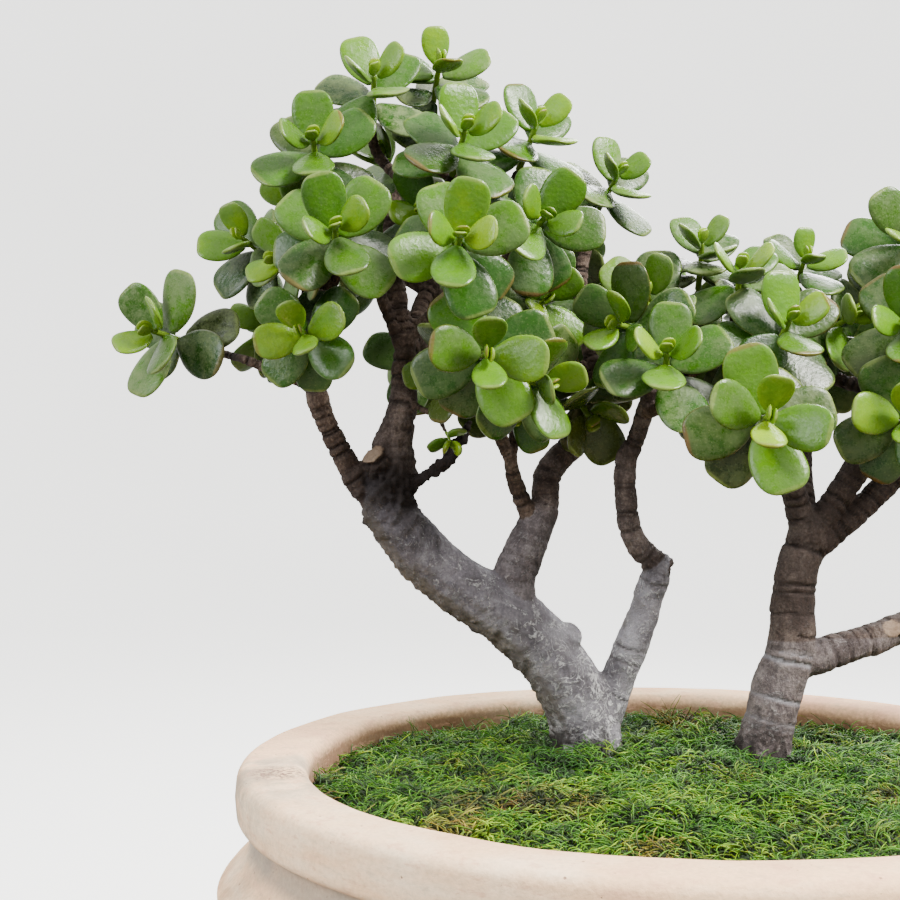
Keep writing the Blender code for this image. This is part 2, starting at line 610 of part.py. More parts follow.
def fitting_leaf(shoot, pair, side, others, own):
    """The first of the leaf's moves, at the largest size, that meets nothing.

    The blade alone is tested against its own shoot, because the leaf's base joins the stalk.
    """
    for scale in SMALLER:
        for move in GIVE_WAY:
            leaf = wanted_leaf(shoot, pair, side, move, scale)
            blade = leaf_shape(leaf, LEAF_CLEARANCE, False)
            if any(blade.overlap(shape) for shape in own):
                continue
            around = leaf_shape(leaf, LEAF_CLEARANCE)
            if not any(around.overlap(shape) for shape in others):
                return leaf
    return leaf


def draw_leaf(bm, face, leaf):
    """Draws a leaf out of a side of the stalk, one station at a time."""
    upper_side = leaf.axis
    across = leaf.axis.cross(leaf.out)
    for share, width_share in LEAF_STATIONS:
        face = bmesh.ops.extrude_discrete_faces(bm, faces=[face])["faces"][0]
        middle = face.calc_center_median()
        place, next_across, upper = leaf_section(leaf, share)
        for vert in face.verts:
            offset = vert.co - middle
            a = math.copysign(0.5 * leaf.width * width_share, offset.dot(across))
            b = math.copysign(0.5 * leaf.thickness, offset.dot(upper_side))
            vert.co = place + next_across * a + upper * b
        upper_side, across = upper, next_across


def build_shoot(shoot, leaves, parts, material):
    """One closed body: a square stalk, a storey for each pair, with a leaf out of each side."""
    side, up, axis = shoot_frame(shoot)
    turn = math.radians(shoot.roll)
    first = side * math.cos(turn) + up * math.sin(turn)
    second = axis.cross(first)
    foot = stalk_foot(shoot)
    frame = Matrix((first, second, axis)).transposed().to_4x4()
    frame.translation = foot
    half = 0.5 * STALK_SIDE * shoot.size
    bm = bmesh.new()
    bmesh.ops.create_circle(bm, cap_ends=True, segments=4, radius=half * math.sqrt(2),
                            matrix=frame @ Matrix.Rotation(math.radians(45), 4, "Z"))
    top = bm.faces[:][0]
    heights = [BARE_STALK * shoot.size] + [storeys(shoot)] * shoot.pairs
    walls = []
    for height in heights:
        grown = bmesh.ops.extrude_face_region(bm, geom=[top, *top.edges, *top.verts])["geom"]
        top = next(part for part in grown if isinstance(part, bmesh.types.BMFace))
        bmesh.ops.translate(bm, verts=top.verts[:], vec=axis * height)
        walls.append([wall for edge in top.edges for wall in edge.link_faces if wall != top])
    bm.normal_update()
    for pair in range(shoot.pairs):
        sides = walls[shoot.pairs - pair]
        for leaf, sign in zip(leaves[2 * pair:2 * pair + 2], (1, -1)):
            out = (first if pair % 2 == 0 else second) * sign
            if (pair // 2) % 2:
                out = -out
            face = max(sides, key=lambda wall: (wall.calc_center_median() - foot).dot(out))
            sides.remove(face)
            draw_leaf(bm, face, leaf)
    bmesh.ops.recalc_face_normals(bm, faces=bm.faces)
    mesh = bpy.data.meshes.new("shoot_" + shoot.name)
    bm.to_mesh(mesh)
    bm.free()
    return add_object("shoot_" + shoot.name, mesh, parts, material)


def build_plant(parts):
    for stem in TRUNKS:
        build_stem(stem, parts)
    leaves = grow_leaves()
    for k, shoot in enumerate(SHOOTS):
        shade = 0.85 + 0.3 * ((k * 7) % 10) / 10
        green = finish_material("leaf_" + shoot.name, (0.12 * shade, 0.30 * shade, 0.06), 0.35)
        build_shoot(shoot, leaves[shoot.name], parts, green)


def main():
    clear_scene()
    parts = new_collection("potted_jade_plant")
    cutters = new_collection("cutters")
    build_pot(parts, cutters)
    pockets = build_crocks(parts, cutters)
    root_cutters = [root_cutter(stem, cutters) for stem in TRUNKS]
    build_soil(parts, pockets, root_cutters)
    build_moss(parts, root_cutters)
    build_plant(parts)


main()
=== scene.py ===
"""A potted jade plant: two woody stems of thick-leaved shoots in a wide clay bowl of moss.

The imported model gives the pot, the soil and where every shoot stands. This script gives them
their look: bark with ring scars, waxy leaves, a tangle of moss and weathered clay.
"""

import logging
import math
import random
from dataclasses import dataclass, field
from enum import Enum
from typing import Iterator, Sequence, Union

import bpy
import numpy as np
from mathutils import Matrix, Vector, noise
from mathutils.kdtree import KDTree


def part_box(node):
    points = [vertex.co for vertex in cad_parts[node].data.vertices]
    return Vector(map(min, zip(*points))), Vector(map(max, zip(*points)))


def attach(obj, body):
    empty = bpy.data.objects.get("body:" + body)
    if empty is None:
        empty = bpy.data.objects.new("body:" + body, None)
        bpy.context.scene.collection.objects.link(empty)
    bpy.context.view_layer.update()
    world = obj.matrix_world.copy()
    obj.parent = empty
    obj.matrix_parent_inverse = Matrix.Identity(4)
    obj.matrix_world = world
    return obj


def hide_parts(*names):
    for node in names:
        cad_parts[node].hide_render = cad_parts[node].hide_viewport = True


log = logging.getLogger("jade_plant")
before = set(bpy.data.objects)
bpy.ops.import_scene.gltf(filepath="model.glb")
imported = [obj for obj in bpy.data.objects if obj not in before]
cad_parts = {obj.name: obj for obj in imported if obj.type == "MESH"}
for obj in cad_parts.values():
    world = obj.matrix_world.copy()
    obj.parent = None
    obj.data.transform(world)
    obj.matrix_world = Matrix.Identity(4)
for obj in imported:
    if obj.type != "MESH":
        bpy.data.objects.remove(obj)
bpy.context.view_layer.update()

MM = 0.001
BODY = "root"
MOUTH_RADIUS = 0.195
CROCKS = 3
LEAF_SEED = 11
Colour = tuple[float, float, float]
Number = Union[float, "Wire"]


# ---------------------------------------------------------------- shader maths


class Wire:
    """A shader socket that stands in sums: each operator adds its Math node."""

    def __init__(self, nodes: "Nodes", socket: bpy.types.NodeSocket) -> None:
        """Keeps the socket and the node tree that it belongs to."""
        self.nodes = nodes
        self.socket = socket

    def __add__(self, other: Number) -> "Wire":
        """Gives self + other."""
        return self.nodes.math("ADD", self, other)

    __radd__ = __add__

    def __mul__(self, other: Number) -> "Wire":
        """Gives self * other."""
        return self.nodes.math("MULTIPLY", self, other)

    __rmul__ = __mul__

    def __sub__(self, other: Number) -> "Wire":
        """Gives self - other."""
        return self.nodes.math("SUBTRACT", self, other)

    def __rsub__(self, other: Number) -> "Wire":
        """Gives other - self."""
        return self.nodes.math("SUBTRACT", other, self)

    def __truediv__(self, other: Number) -> "Wire":
        """Gives self / other."""
        return self.nodes.math("DIVIDE", self, other)

    def __pow__(self, other: Number) -> "Wire":
        """Gives self to the power of other."""
        return self.nodes.math("POWER", self, other)

    def above(self, low: float, high: float) -> "Wire":
        """Rises smoothly from 0 at low to 1 at high.

        Args:
            low: Where the rise starts.
            high: Where it ends.

        Returns:
            The risen number.
        """
        node = self.nodes.node(
            "ShaderNodeMapRange",
            {"interpolation_type": "SMOOTHSTEP"},
            {"Value": self, "From Min": low, "From Max": high},
        )
        return Wire(self.nodes, node.outputs["Result"])


class Nodes:
    """A material's node tree, and short ways to fill it."""

    def __init__(self, name: str) -> None:
        """Starts a material that holds only its Principled shader.

        Args:
            name: The material's name.
        """
        self.material = bpy.data.materials.new(name)
        self.material.use_nodes = True
        self.tree = self.material.node_tree
        self.shader = self.tree.nodes["Principled BSDF"]
        coordinates = self.node("ShaderNodeTexCoord")
        self.place = Wire(self, coordinates.outputs["Object"])

    def node(
        self, kind: str, settings: dict | None = None, sockets: dict | None = None
    ) -> bpy.types.Node:
        """Adds a node.

        Args:
            kind: The node's type.
            settings: Its own properties, such as a Math node's operation. Set first.
            sockets: A value or a Wire for each input, by name or number.

        Returns:
            The new node.
        """
        node = self.tree.nodes.new(kind)
        for name, value in (settings or {}).items():
            setattr(node, name, value)
        for name, value in (sockets or {}).items():
            self.feed(node.inputs[name], value)
        return node

    def feed(self, socket: bpy.types.NodeSocket, value: object) -> None:
        """Links a Wire to an input, or sets the input's own value.

        Args:
            socket: The input.
            value: A Wire, a number, or a colour of three numbers.
        """
        if isinstance(value, Wire):
            self.tree.links.new(value.socket, socket)
        elif isinstance(value, tuple) and len(value) == 3 and socket.type == "RGBA":
            socket.default_value = (*value, 1.0)
        else:
            socket.default_value = value

    def math(self, operation: str, *values: Number) -> Wire:
        """Adds a Math node on two values."""
        node = self.node("ShaderNodeMath", {"operation": operation}, dict(enumerate(values)))
        return Wire(self, node.outputs[0])

    def attribute(self, name: str) -> Wire:
        """Reads a number that each point of the mesh holds."""
        node = self.node("ShaderNodeAttribute", {"attribute_name": name})
        return Wire(self, node.outputs["Fac"])

    def noise(self, scale: float, detail: float = 3.0, roughness: float = 0.55,
              place: Wire | None = None, distortion: float = 0.0) -> Wire:
        """Cloudy noise from 0 to 1, about scale clouds to the metre.

        Args:
            scale: About how many clouds there are to the metre.
            detail: How many finer layers it has.
            roughness: How strong those layers are.
            place: Where it is read, if not at the plain place.
            distortion: How far it is swirled.

        Returns:
            The noise.
        """
        node = self.node("ShaderNodeTexNoise", None, {
            "Vector": place or self.place, "Scale": scale, "Detail": detail,
            "Roughness": roughness, "Distortion": distortion})
        return Wire(self, node.outputs["Fac"])

    def cells(self, scale: float, feature: str = "F1", place: Wire | None = None) -> Wire:
        """Distance to the nearest of scattered points, about scale of them to the metre.

        Args:
            scale: About how many points there are to the metre.
            feature: Which distance, in the words of the Voronoi node.
            place: Where it is read, if not at the plain place.

        Returns:
            The distance, as a share of the gap between points.
        """
        node = self.node("ShaderNodeTexVoronoi", {"feature": feature},
                         {"Vector": place or self.place, "Scale": scale})
        return Wire(self, node.outputs["Distance"])

    def stretched(self, scale: tuple[float, float, float]) -> Wire:
        """The place with each axis scaled."""
        node = self.node("ShaderNodeMapping", None, {"Vector": self.place, "Scale": scale})
        return Wire(self, node.outputs["Vector"])

    def axes(self) -> tuple[Wire, Wire, Wire]:
        """The place as its three numbers."""
        node = self.node("ShaderNodeSeparateXYZ", None, {0: self.place})
        return tuple(Wire(self, node.outputs[k]) for k in range(3))

    def mix(self, factor: Number, first: object, second: object) -> Wire:
        """Mixes two colours.

        Args:
            factor: How much of the second there is, from 0 to 1.
            first: A colour or a Wire.
            second: A colour or a Wire.

        Returns:
            The mixed colour.
        """
        node = self.node("ShaderNodeMix", {"data_type": "RGBA"}, {"Factor": factor})
        self.feed(node.inputs[6], first)
        self.feed(node.inputs[7], second)
        return Wire(self, node.outputs[2])

    def tinted(self, colour: Wire, factor: Wire, strength: float) -> Wire:
        """Darkens and lightens a colour by a number about 0.5.

        Args:
            colour: The colour.
            factor: The number.
            strength: The most that it darkens or lightens, as a share.

        Returns:
            The tinted colour.
        """
        grey = self.ramp(factor, ((0.0, (1 - strength,) * 3), (1.0, (1 + strength,) * 3)))
        node = self.node("ShaderNodeMix", {"data_type": "RGBA", "blend_type": "MULTIPLY"},
                         {"Factor": 1.0})
        self.feed(node.inputs[6], colour)
        self.feed(node.inputs[7], grey)
        return Wire(self, node.outputs[2])

    def ramp(self, factor: Wire, stops: Sequence[tuple[float, Colour]]) -> Wire:
        """Turns a number into a colour by stops of (number, colour).

        Args:
            factor: The number.
            stops: The stops, lowest first.

        Returns:
            The colour.
        """
        node = self.node("ShaderNodeValToRGB", None, {"Fac": factor})
        elements = node.color_ramp.elements
        while len(elements) < len(stops):
            elements.new(0.5)
        for element, (position, colour) in zip(elements, stops):
            element.position = position
            element.color = (*colour, 1.0)
        return Wire(self, node.outputs["Color"])

    def bump(self, height: Wire, distance: float, strength: float = 1.0) -> Wire:
        """A normal from a height, whose full range is distance metres.

        Args:
            height: The height, from about 0 to 1.
            distance: The full range in metres.
            strength: How much of the tilt shows.

        Returns:
            The normal.
        """
        node = self.node("ShaderNodeBump", None, {
            "Height": height, "Distance": distance, "Strength": strength})
        return Wire(self, node.outputs["Normal"])

    def finish(self, **sockets: object) -> bpy.types.Material:
        """Feeds the shader, with _ for each space in a socket's name, and gives the material.

        Args:
            **sockets: A value or a Wire for each socket.

        Returns:
            The material.
        """
        for name, value in sockets.items():
            self.feed(self.shader.inputs[name.replace("_", " ")], value)
        return self.material


# -------------------------------------------------------------------- finishes


@dataclass(frozen=True)
class LeafFinish:
    """Waxy leaf skin, from yellow-green when young to a dusty dark green when old, the dust partly a
    painted sheen.
    """

    bud: Colour = (0.200, 0.330, 0.002)
    young: Colour = (0.072, 0.186, 0.001)
    grown: Colour = (0.0175, 0.076, 0.001)
    old: Colour = (0.0065, 0.028, 0.003)
    olive: Colour = (0.040, 0.034, 0.004)
    # Pale grey-green of dust, which also stands in as a painted sheen of reflected light.
    dust_and_sheen: Colour = (0.150, 0.195, 0.075)
    under: Colour = (0.045, 0.092, 0.020)
    pale_margin: Colour = (0.17, 0.22, 0.05)
    red_margin: Colour = (0.12, 0.036, 0.012)
    stalk: Colour = (0.11, 0.19, 0.015)
    cloud_scale: float = 60.0
    mottle_scale: float = 190.0
    fine_scale: float = 1100.0
    speck_scale: float = 520.0
    pore_scale: float = 420.0
    relief: float = 0.00042

    def material(self) -> bpy.types.Material:
        """Builds the material.

        Returns:
            The material.
        """
        n = Nodes("leaf_skin")
        age, tint, edge = n.attribute("age"), n.attribute("tint"), n.attribute("edge")
        dusty, olive, red = n.attribute("dusty"), n.attribute("olive"), n.attribute("red")
        cloud, mottle = n.noise(self.cloud_scale, 4.0), n.noise(self.mottle_scale, 5.0, 0.65)
        fine = n.noise(self.fine_scale, 3.0, 0.6)
        ripe = age + (tint - 0.5) * 0.30 + (cloud - 0.5) * 0.45 + (mottle - 0.5) * 0.30
        skin = n.ramp(ripe, ((0.0, self.bud), (0.30, self.young), (0.62, self.grown), (1.0, self.old)))
        skin = n.mix(n.attribute("under") * 0.5, skin, self.under)
        faded = age * (tint + (mottle - 0.5) * 0.6).above(0.62, 1.0)
        skin = n.mix(olive + faded * 0.45, skin, self.olive)
        # Pale wax bloom and dust, partly a painted sheen of reflected light.
        bloom_and_sheen = dusty * (cloud * 0.45 + mottle * 0.5 + fine * 0.25).above(0.49, 0.70)
        skin = n.mix(bloom_and_sheen * 0.8, skin, self.dust_and_sheen)
        specks = 1 - n.cells(self.speck_scale).above(0.12, 0.30)
        skin = n.mix(specks * (0.14 + dusty * 0.5), skin, self.dust_and_sheen)
        rim = (edge ** 6.0) * (0.25 + mottle * 1.1)
        skin = n.mix(rim * (1 - red) * 0.6, skin, self.pale_margin)
        skin = n.mix(rim * red * 0.8, skin, self.red_margin)
        skin = n.mix(n.attribute("stalk"), skin, self.stalk)
        skin = n.tinted(skin, mottle * 0.6 + fine * 0.4, 0.42)
        rough = 0.16 + mottle * 0.18 + bloom_and_sheen * 0.42
        grain = fine * 0.4 + n.cells(self.pore_scale) * 0.5 + mottle * 0.6
        return n.finish(
            Base_Color=skin, Roughness=rough, Normal=n.bump(grain, self.relief, 0.60),
            Specular_IOR_Level=0.30, Subsurface_Weight=0.04, Subsurface_Scale=0.002,
            Subsurface_Radius=(0.6, 1.0, 0.2))


@dataclass(frozen=True)
class BarkFinish:
    """Bark: smooth grey with pale lichen on the thick wood, brown and ringed on the thin."""

    grey_dark: Colour = (0.030, 0.026, 0.029)
    grey: Colour = (0.104, 0.094, 0.106)
    grey_light: Colour = (0.270, 0.260, 0.280)
    lichen: Colour = (0.50, 0.49, 0.49)
    brown_dark: Colour = (0.014, 0.008, 0.006)
    brown: Colour = (0.058, 0.037, 0.027)
    brown_light: Colour = (0.185, 0.135, 0.105)
    flaky: Colour = (0.150, 0.125, 0.070)
    cut_wood: Colour = (0.150, 0.095, 0.060)
    pale_wood: Colour = (0.30, 0.22, 0.155)
    # Black of dead, charred wood, also used as painted shade.
    char_and_shade: Colour = (0.012, 0.008, 0.007)
    cloud_scale: float = 38.0
    patch_scale: float = 95.0
    web_scale: float = 105.0
    streak_scale: float = 150.0
    fine_scale: float = 600.0
    relief: float = 0.0015

    def material(self) -> bpy.types.Material:
        """Builds the material.

        Returns:
            The material.
        """
        n = Nodes("bark")
        tone, ring = n.attribute("tone"), n.attribute("ring")
        cloud = n.noise(self.cloud_scale, 6.0, 0.68)
        patch = n.noise(self.patch_scale, 6.0, 0.7, None, 0.8)
        streak = n.noise(self.streak_scale, 5.0, 0.7, n.stretched((1.0, 1.0, 0.35)))
        fine = n.noise(self.fine_scale, 5.0, 0.7)
        thick = n.ramp(cloud * 0.55 + streak * 0.25 + fine * 0.2, (
            (0.36, self.grey_dark), (0.50, self.grey), (0.66, self.grey_light)))
        thick = n.mix(n.attribute("pale") * cloud.above(0.34, 0.62), thick, self.grey_light)
        strayed = n.noise(self.web_scale, 5.0, 0.62, None, 1.2)
        web = 1 - n.math("ABSOLUTE", strayed - 0.5).above(0.0, 0.050)
        crust = (patch * 0.6 + fine * 0.35 + web * 0.16 + n.attribute("crust") * 0.16).above(0.60, 0.78)
        thick = n.mix(crust * 0.90, thick, self.lichen)
        flakes = n.attribute("flaky") * (fine * 0.7 + patch * 0.6).above(0.50, 0.72)
        thick = n.mix(n.attribute("flaky") * 0.75, thick, self.flaky)
        thick = n.mix(flakes * 0.9, thick, self.grey_dark)
        thin = n.ramp(cloud * 0.4 + streak * 0.35 + fine * 0.35, (
            (0.40, self.brown_dark), (0.54, self.brown), (0.70, self.brown_light)))
        thin = n.mix(n.attribute("crust") * patch.above(0.5, 0.66) * 0.4, thin, self.grey_light)
        skin = n.mix(tone, thick, thin)
        skin = n.mix(ring * (0.5 + cloud + fine * 0.4), skin, self.brown_dark)
        skin = n.mix(n.attribute("scar") * (0.3 + patch), skin, self.grey_light)
        # The dark attribute: dead wood, painted shade on the right stem's upper part, and darker at the
        # foot.
        skin = n.mix(n.attribute("dark") * (0.7 + cloud), skin, self.char_and_shade)
        wood = n.ramp(patch, ((0.3, self.cut_wood), (0.7, self.pale_wood)))
        skin = n.mix(n.attribute("cut"), skin, wood)
        height = fine * 0.6 + patch * 0.6 + streak * 0.5 - ring * 0.9 + crust * 0.25
        return n.finish(Base_Color=n.tinted(skin, fine, 0.35), Roughness=0.78 + fine * 0.15,
                        Normal=n.bump(height, self.relief, 1.0), Specular_IOR_Level=0.25)


@dataclass(frozen=True)
class ClayFinish:
    """Old unglazed clay, bleached cream with pink and grey clouds, a stained inside darkened further by
    painted shade, and painted shade in the groove and on the body below the rim band.
    """

    cream: Colour = (0.86, 0.560, 0.325)
    pink: Colour = (0.70, 0.400, 0.255)
    bleached: Colour = (0.95, 0.740, 0.510)
    smoke: Colour = (0.26, 0.22, 0.18)
    # Brown of a real stain, also used as painted shade.
    stain_and_shade: Colour = (0.150, 0.072, 0.036)
    chip: Colour = (0.20, 0.110, 0.085)
    broad_scale: float = 9.0
    streak_scale: float = 16.0
    cloud_scale: float = 34.0
    drawn_scale: float = 70.0
    pit_scale: float = 150.0
    fine_scale: float = 420.0
    relief: float = 0.0009
    groove_drop: float = 0.034
    inner_depth: float = 0.12

    def material(self, mouth: float, top: float, scuff: Vector) -> bpy.types.Material:
        """Builds the material.

        Args:
            mouth: Radius of the pot's mouth.
            top: Height of its rim.
            scuff: Middle of the worn patch on the rim.

        Returns:
            The clay.
        """
        n = Nodes("clay")
        x, y, z = n.axes()
        radius = n.math("SQRT", x * x + y * y)
        broad, cloud = n.noise(self.broad_scale, 4.0, 0.6), n.noise(self.cloud_scale, 5.0, 0.62)
        streak = n.noise(self.streak_scale, 4.0, 0.6, n.stretched((1.0, 1.0, 5.0)))
        fine = n.noise(self.fine_scale, 4.0, 0.6)
        skin = n.ramp(broad * 0.5 + streak * 0.5, (
            (0.36, self.pink), (0.50, self.cream), (0.66, self.bleached)))
        skin = n.mix(cloud.above(0.60, 0.78) * 0.45, skin, self.pink)
        far = [x - scuff.x, y - scuff.y, z - scuff.z]
        off = n.math("SQRT", far[0] * far[0] + far[1] * far[1] + far[2] * far[2])
        smoke = (1 - off.above(0.015, 0.085)) * cloud.above(0.35, 0.62)
        skin = n.mix(smoke * 0.75, skin, self.smoke)
        worn = (1 - off.above(0.006, 0.022)) * fine.above(0.47, 0.56)
        skin = n.mix(worn, skin, self.chip)
        ragged = (cloud - 0.5) * 0.008 + (fine - 0.5) * 0.004
        # The inner wall darkened: a real stain, and painted shade inside the bowl.
        inside = ((1 - (radius + ragged).above(mouth + 0.001, mouth + 0.005))
                  * (1 - (z + ragged).above(top - 0.010, top - 0.002))
                  * z.above(top - self.inner_depth, top - self.inner_depth + 0.02))
        skin = n.mix(inside * (0.55 + cloud * 0.5), skin, self.stain_and_shade)
        # Painted shade on the body under the overhanging rim band, with some stain.
        stain_and_shade_below_rim = (1 - (z + ragged * 2).above(top - 0.060, top - 0.036)) * cloud.above(0.42, 0.66)
        skin = n.mix(stain_and_shade_below_rim * 0.35, skin, self.stain_and_shade)
        pits = (1 - n.cells(self.pit_scale).above(0.05, 0.13)) * fine.above(0.48, 0.60)
        skin = n.mix(pits * 0.85, skin, self.chip)
        drawn = n.noise(self.drawn_scale, 5.0, 0.7, n.stretched((1.0, 1.0, 4.0)))
        skin = n.mix(drawn.above(0.54, 0.66) * 0.60, skin, self.pink)
        skin = n.mix((1 - drawn).above(0.57, 0.68) * 0.22, skin, self.smoke)
        # Painted shadow in the groove under the rim band, with some grey stain, in the smoke colour.
        under = 1 - n.math("ABSOLUTE", z - (top - self.groove_drop)).above(0.004, 0.013)
        skin = n.mix(under * (0.55 + cloud * 0.5), skin, self.smoke)
        skin = n.tinted(skin, fine, 0.26)
        height = fine * 0.6 + cloud * 0.5 + streak * 0.4 - pits * 1.0 - worn * 0.8
        return n.finish(Base_Color=skin, Roughness=0.82 + fine * 0.1,
                        Normal=n.bump(height, self.relief, 0.70), Specular_IOR_Level=0.25)


@dataclass(frozen=True)
class MossFinish:
    """Moss strands: bright green, with dry yellow-brown ones, and feet darkened by painted shade."""

    # Near black of the painted shade at the strands' feet.
    deep: Colour = (0.004, 0.011, 0.001)
    green: Colour = (0.020, 0.102, 0.001)
    bright: Colour = (0.088, 0.265, 0.001)
    lime: Colour = (0.31, 0.48, 0.008)
    straw: Colour = (0.42, 0.27, 0.040)
    rust: Colour = (0.075, 0.036, 0.008)

    def material(self) -> bpy.types.Material:
        """Builds the material.

        Returns:
            The material.
        """
        n = Nodes("moss")
        tint, dry, rise = n.attribute("tint"), n.attribute("dry"), n.attribute("rise")
        fresh = n.ramp(tint, ((0.0, self.green), (0.6, self.bright), (1.0, self.lime)))
        old = n.ramp(tint, ((0.0, self.rust), (1.0, self.straw)))
        skin = n.mix(dry, fresh, old)
        # Painted shade: strands darken towards their feet, deep in the mat.
        skin = n.mix(((1 - rise) * 1.15).above(0.1, 1.0) * 0.95, skin, self.deep)
        skin = n.tinted(skin, n.noise(500.0, 2.0), 0.25)
        return n.finish(Base_Color=skin, Roughness=0.62, Specular_IOR_Level=0.35,
                        Subsurface_Weight=0.05, Subsurface_Scale=0.001)


@dataclass(frozen=True)
class GroundFinish:
    """Crumbly matter in two colours: potting soil, or the broken face of a crock."""

    name: str
    dark: Colour
    light: Colour
    grain: float
    relief: float

    def material(self) -> bpy.types.Material:
        """Builds the material.

        Returns:
            The material.
        """
        n = Nodes(self.name)
        crumb, fine = n.cells(self.grain), n.noise(3 * self.grain, 4.0, 0.7)
        skin = n.ramp(crumb * 0.6 + fine * 0.5, ((0.25, self.dark), (0.8, self.light)))
        height = fine * 0.5 - crumb * 0.8
        return n.finish(Base_Color=skin, Roughness=0.9,
                        Normal=n.bump(height, self.relief, 0.8), Specular_IOR_Level=0.2)


SOIL = GroundFinish("potting_soil", (0.012, 0.008, 0.005), (0.07, 0.045, 0.03), 180.0, 0.002)
CROCK = GroundFinish("broken_face", (0.42, 0.20, 0.12), (0.62, 0.36, 0.24), 90.0, 0.0008)


@dataclass(frozen=True)
class WallFinish:
    """The studio's pale plaster."""

    light: Colour = (0.96, 0.96, 0.95)
    dark: Colour = (0.80, 0.80, 0.79)
    glow: float = 1.55

    def material(self) -> bpy.types.Material:
        """Builds the material.

        Returns:
            The material.
        """
        n = Nodes("pale_plaster")
        rise = n.axes()[2].above(-0.2, 2.4)
        skin = n.ramp(n.noise(0.9, 3.0, 0.5) * 0.4 + rise * 0.6, ((0.2, self.dark), (0.8, self.light)))
        return n.finish(Base_Color=skin, Roughness=0.95, Specular_IOR_Level=0.1,
                        Emission_Color=skin, Emission_Strength=self.glow)


# --------------------------------------------------------------- modelling aids


def deselect() -> None:
    """Leaves nothing selected, because an operator acts on all that is."""
    if bpy.context.mode != "OBJECT":
        bpy.ops.object.mode_set(mode="OBJECT")
    bpy.ops.object.select_all(action="DESELECT")


def only(thing: bpy.types.Object) -> None:
    """Makes one object the only selected one, and the active one.

    Args:
        thing: The object.
    """
    deselect()
    thing.select_set(True)
    bpy.context.view_layer.objects.active = thing


def apply_modifier(thing: bpy.types.Object, kind: str, **settings: object) -> None:
    """Adds a modifier to an object and applies it.

    Args:
        thing: The object.
        kind: The modifier's type.
        **settings: The modifier's own properties.
    """
    only(thing)
    bpy.ops.object.modifier_add(type=kind)
    modifier = thing.modifiers[-1]
    for name, value in settings.items():
        setattr(modifier, name, value)
    bpy.ops.object.modifier_apply(modifier=modifier.name)


def joined(pieces: Sequence[bpy.types.Object], name: str) -> bpy.types.Object:
    """Joins objects into the first of them, and names it.

    Args:
        pieces: The objects.
        name: The name of the whole.

    Returns:
        The joined object.
    """
    deselect()
    for piece in pieces:
        piece.select_set(True)
    bpy.context.view_layer.objects.active = pieces[0]
    if len(pieces) > 1:
        bpy.ops.object.join()
    pieces[0].name = name
    pieces[0].data.name = name
    return pieces[0]


def points_of(mesh: bpy.types.Mesh) -> np.ndarray:
    """A mesh's points as rows of three numbers.

    Args:
        mesh: The mesh.

    Returns:
        One row for each point.
    """
    flat = np.empty(3 * len(mesh.vertices))
    mesh.vertices.foreach_get("co", flat)
    return flat.reshape(-1, 3)


def normals_of(mesh: bpy.types.Mesh) -> np.ndarray:
    """The outward directions at a mesh's points.

    Args:
        mesh: The mesh.

    Returns:
        One row for each point.
    """
    flat = np.empty(3 * len(mesh.vertices))
    mesh.vertex_normals.foreach_get("vector", flat)
    return flat.reshape(-1, 3)


def move_points(mesh: bpy.types.Mesh, points: np.ndarray) -> None:
    """Puts a mesh's points where the rows say."""
    mesh.vertices.foreach_set("co", np.ascontiguousarray(points, dtype=float).ravel())
    mesh.update()


def give(mesh: bpy.types.Mesh, name: str, values: Union[float, np.ndarray]) -> None:
    """Gives each point of a mesh a number under a name."""
    layer = mesh.attributes.get(name) or mesh.attributes.new(name, "FLOAT", "POINT")
    layer.data.foreach_set("value", np.broadcast_to(np.float32(values), len(mesh.vertices)).copy())


def dress(thing: bpy.types.Object, material: bpy.types.Material) -> None:
    """Makes a material the only one on an object."""
    thing.data.materials.clear()
    thing.data.materials.append(material)


def stand_for(thing: bpy.types.Object, slot: str, *nodes: str) -> None:
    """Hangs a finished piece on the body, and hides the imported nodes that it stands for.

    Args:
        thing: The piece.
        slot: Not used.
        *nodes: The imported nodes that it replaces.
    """
    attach(thing, BODY)
    if nodes:
        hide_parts(*nodes)
    log.info("%s: %d faces", thing.name, len(thing.data.polygons))


def smooth_path(knots: np.ndarray, step: float) -> np.ndarray:
    """Points on a smooth curve through knots, whose first three columns are the place.

    Args:
        knots: Rows of numbers, such as x, y, z and radius.
        step: The distance between points.

    Returns:
        Rows of the same numbers along the curve.
    """
    rows = []
    padded = np.vstack([2 * knots[0] - knots[1], knots, 2 * knots[-1] - knots[-2]])
    for k in range(1, len(padded) - 2):
        a, b, c, d = padded[k - 1:k + 3]
        count = max(1, round(float(np.linalg.norm((c - b)[:3])) / step))
        for t in np.arange(count) / count:
            rows.append(0.5 * (2 * b + (c - a) * t + (2 * a - 5 * b + 4 * c - d) * t * t
                               + (3 * b - a - 3 * c + d) * t ** 3))
    return np.array(rows + [knots[-1]])


def tube(name: str, rows: np.ndarray, resolution: int = 4) -> bpy.types.Object:
    """A closed round tube along rows of x, y, z and radius, as a mesh.

    Args:
        name: Its name.
        rows: The rows.
        resolution: How finely it is rounded.

    Returns:
        The tube.
    """
    curve = bpy.data.curves.new(name, "CURVE")
    curve.dimensions = "3D"
    curve.bevel_depth = 1.0
    curve.bevel_resolution = resolution
    curve.use_fill_caps = True
    spline = curve.splines.new("POLY")
    spline.points.add(len(rows) - 1)
    for point, (x, y, z, radius) in zip(spline.points, rows):
        point.co = (x, y, z, 1.0)
        point.radius = radius
    thing = bpy.data.objects.new(name, curve)
    bpy.context.scene.collection.objects.link(thing)
    only(thing)
    bpy.ops.object.convert(target="MESH")
    bpy.ops.object.mode_set(mode="EDIT")
    bpy.ops.mesh.select_all(action="SELECT")
    bpy.ops.mesh.remove_doubles(threshold=0.00001)
    bpy.ops.mesh.normals_make_consistent(inside=False)
    bpy.ops.object.mode_set(mode="OBJECT")
    return bpy.context.object


# -------------------------------------------------------------- how it grew


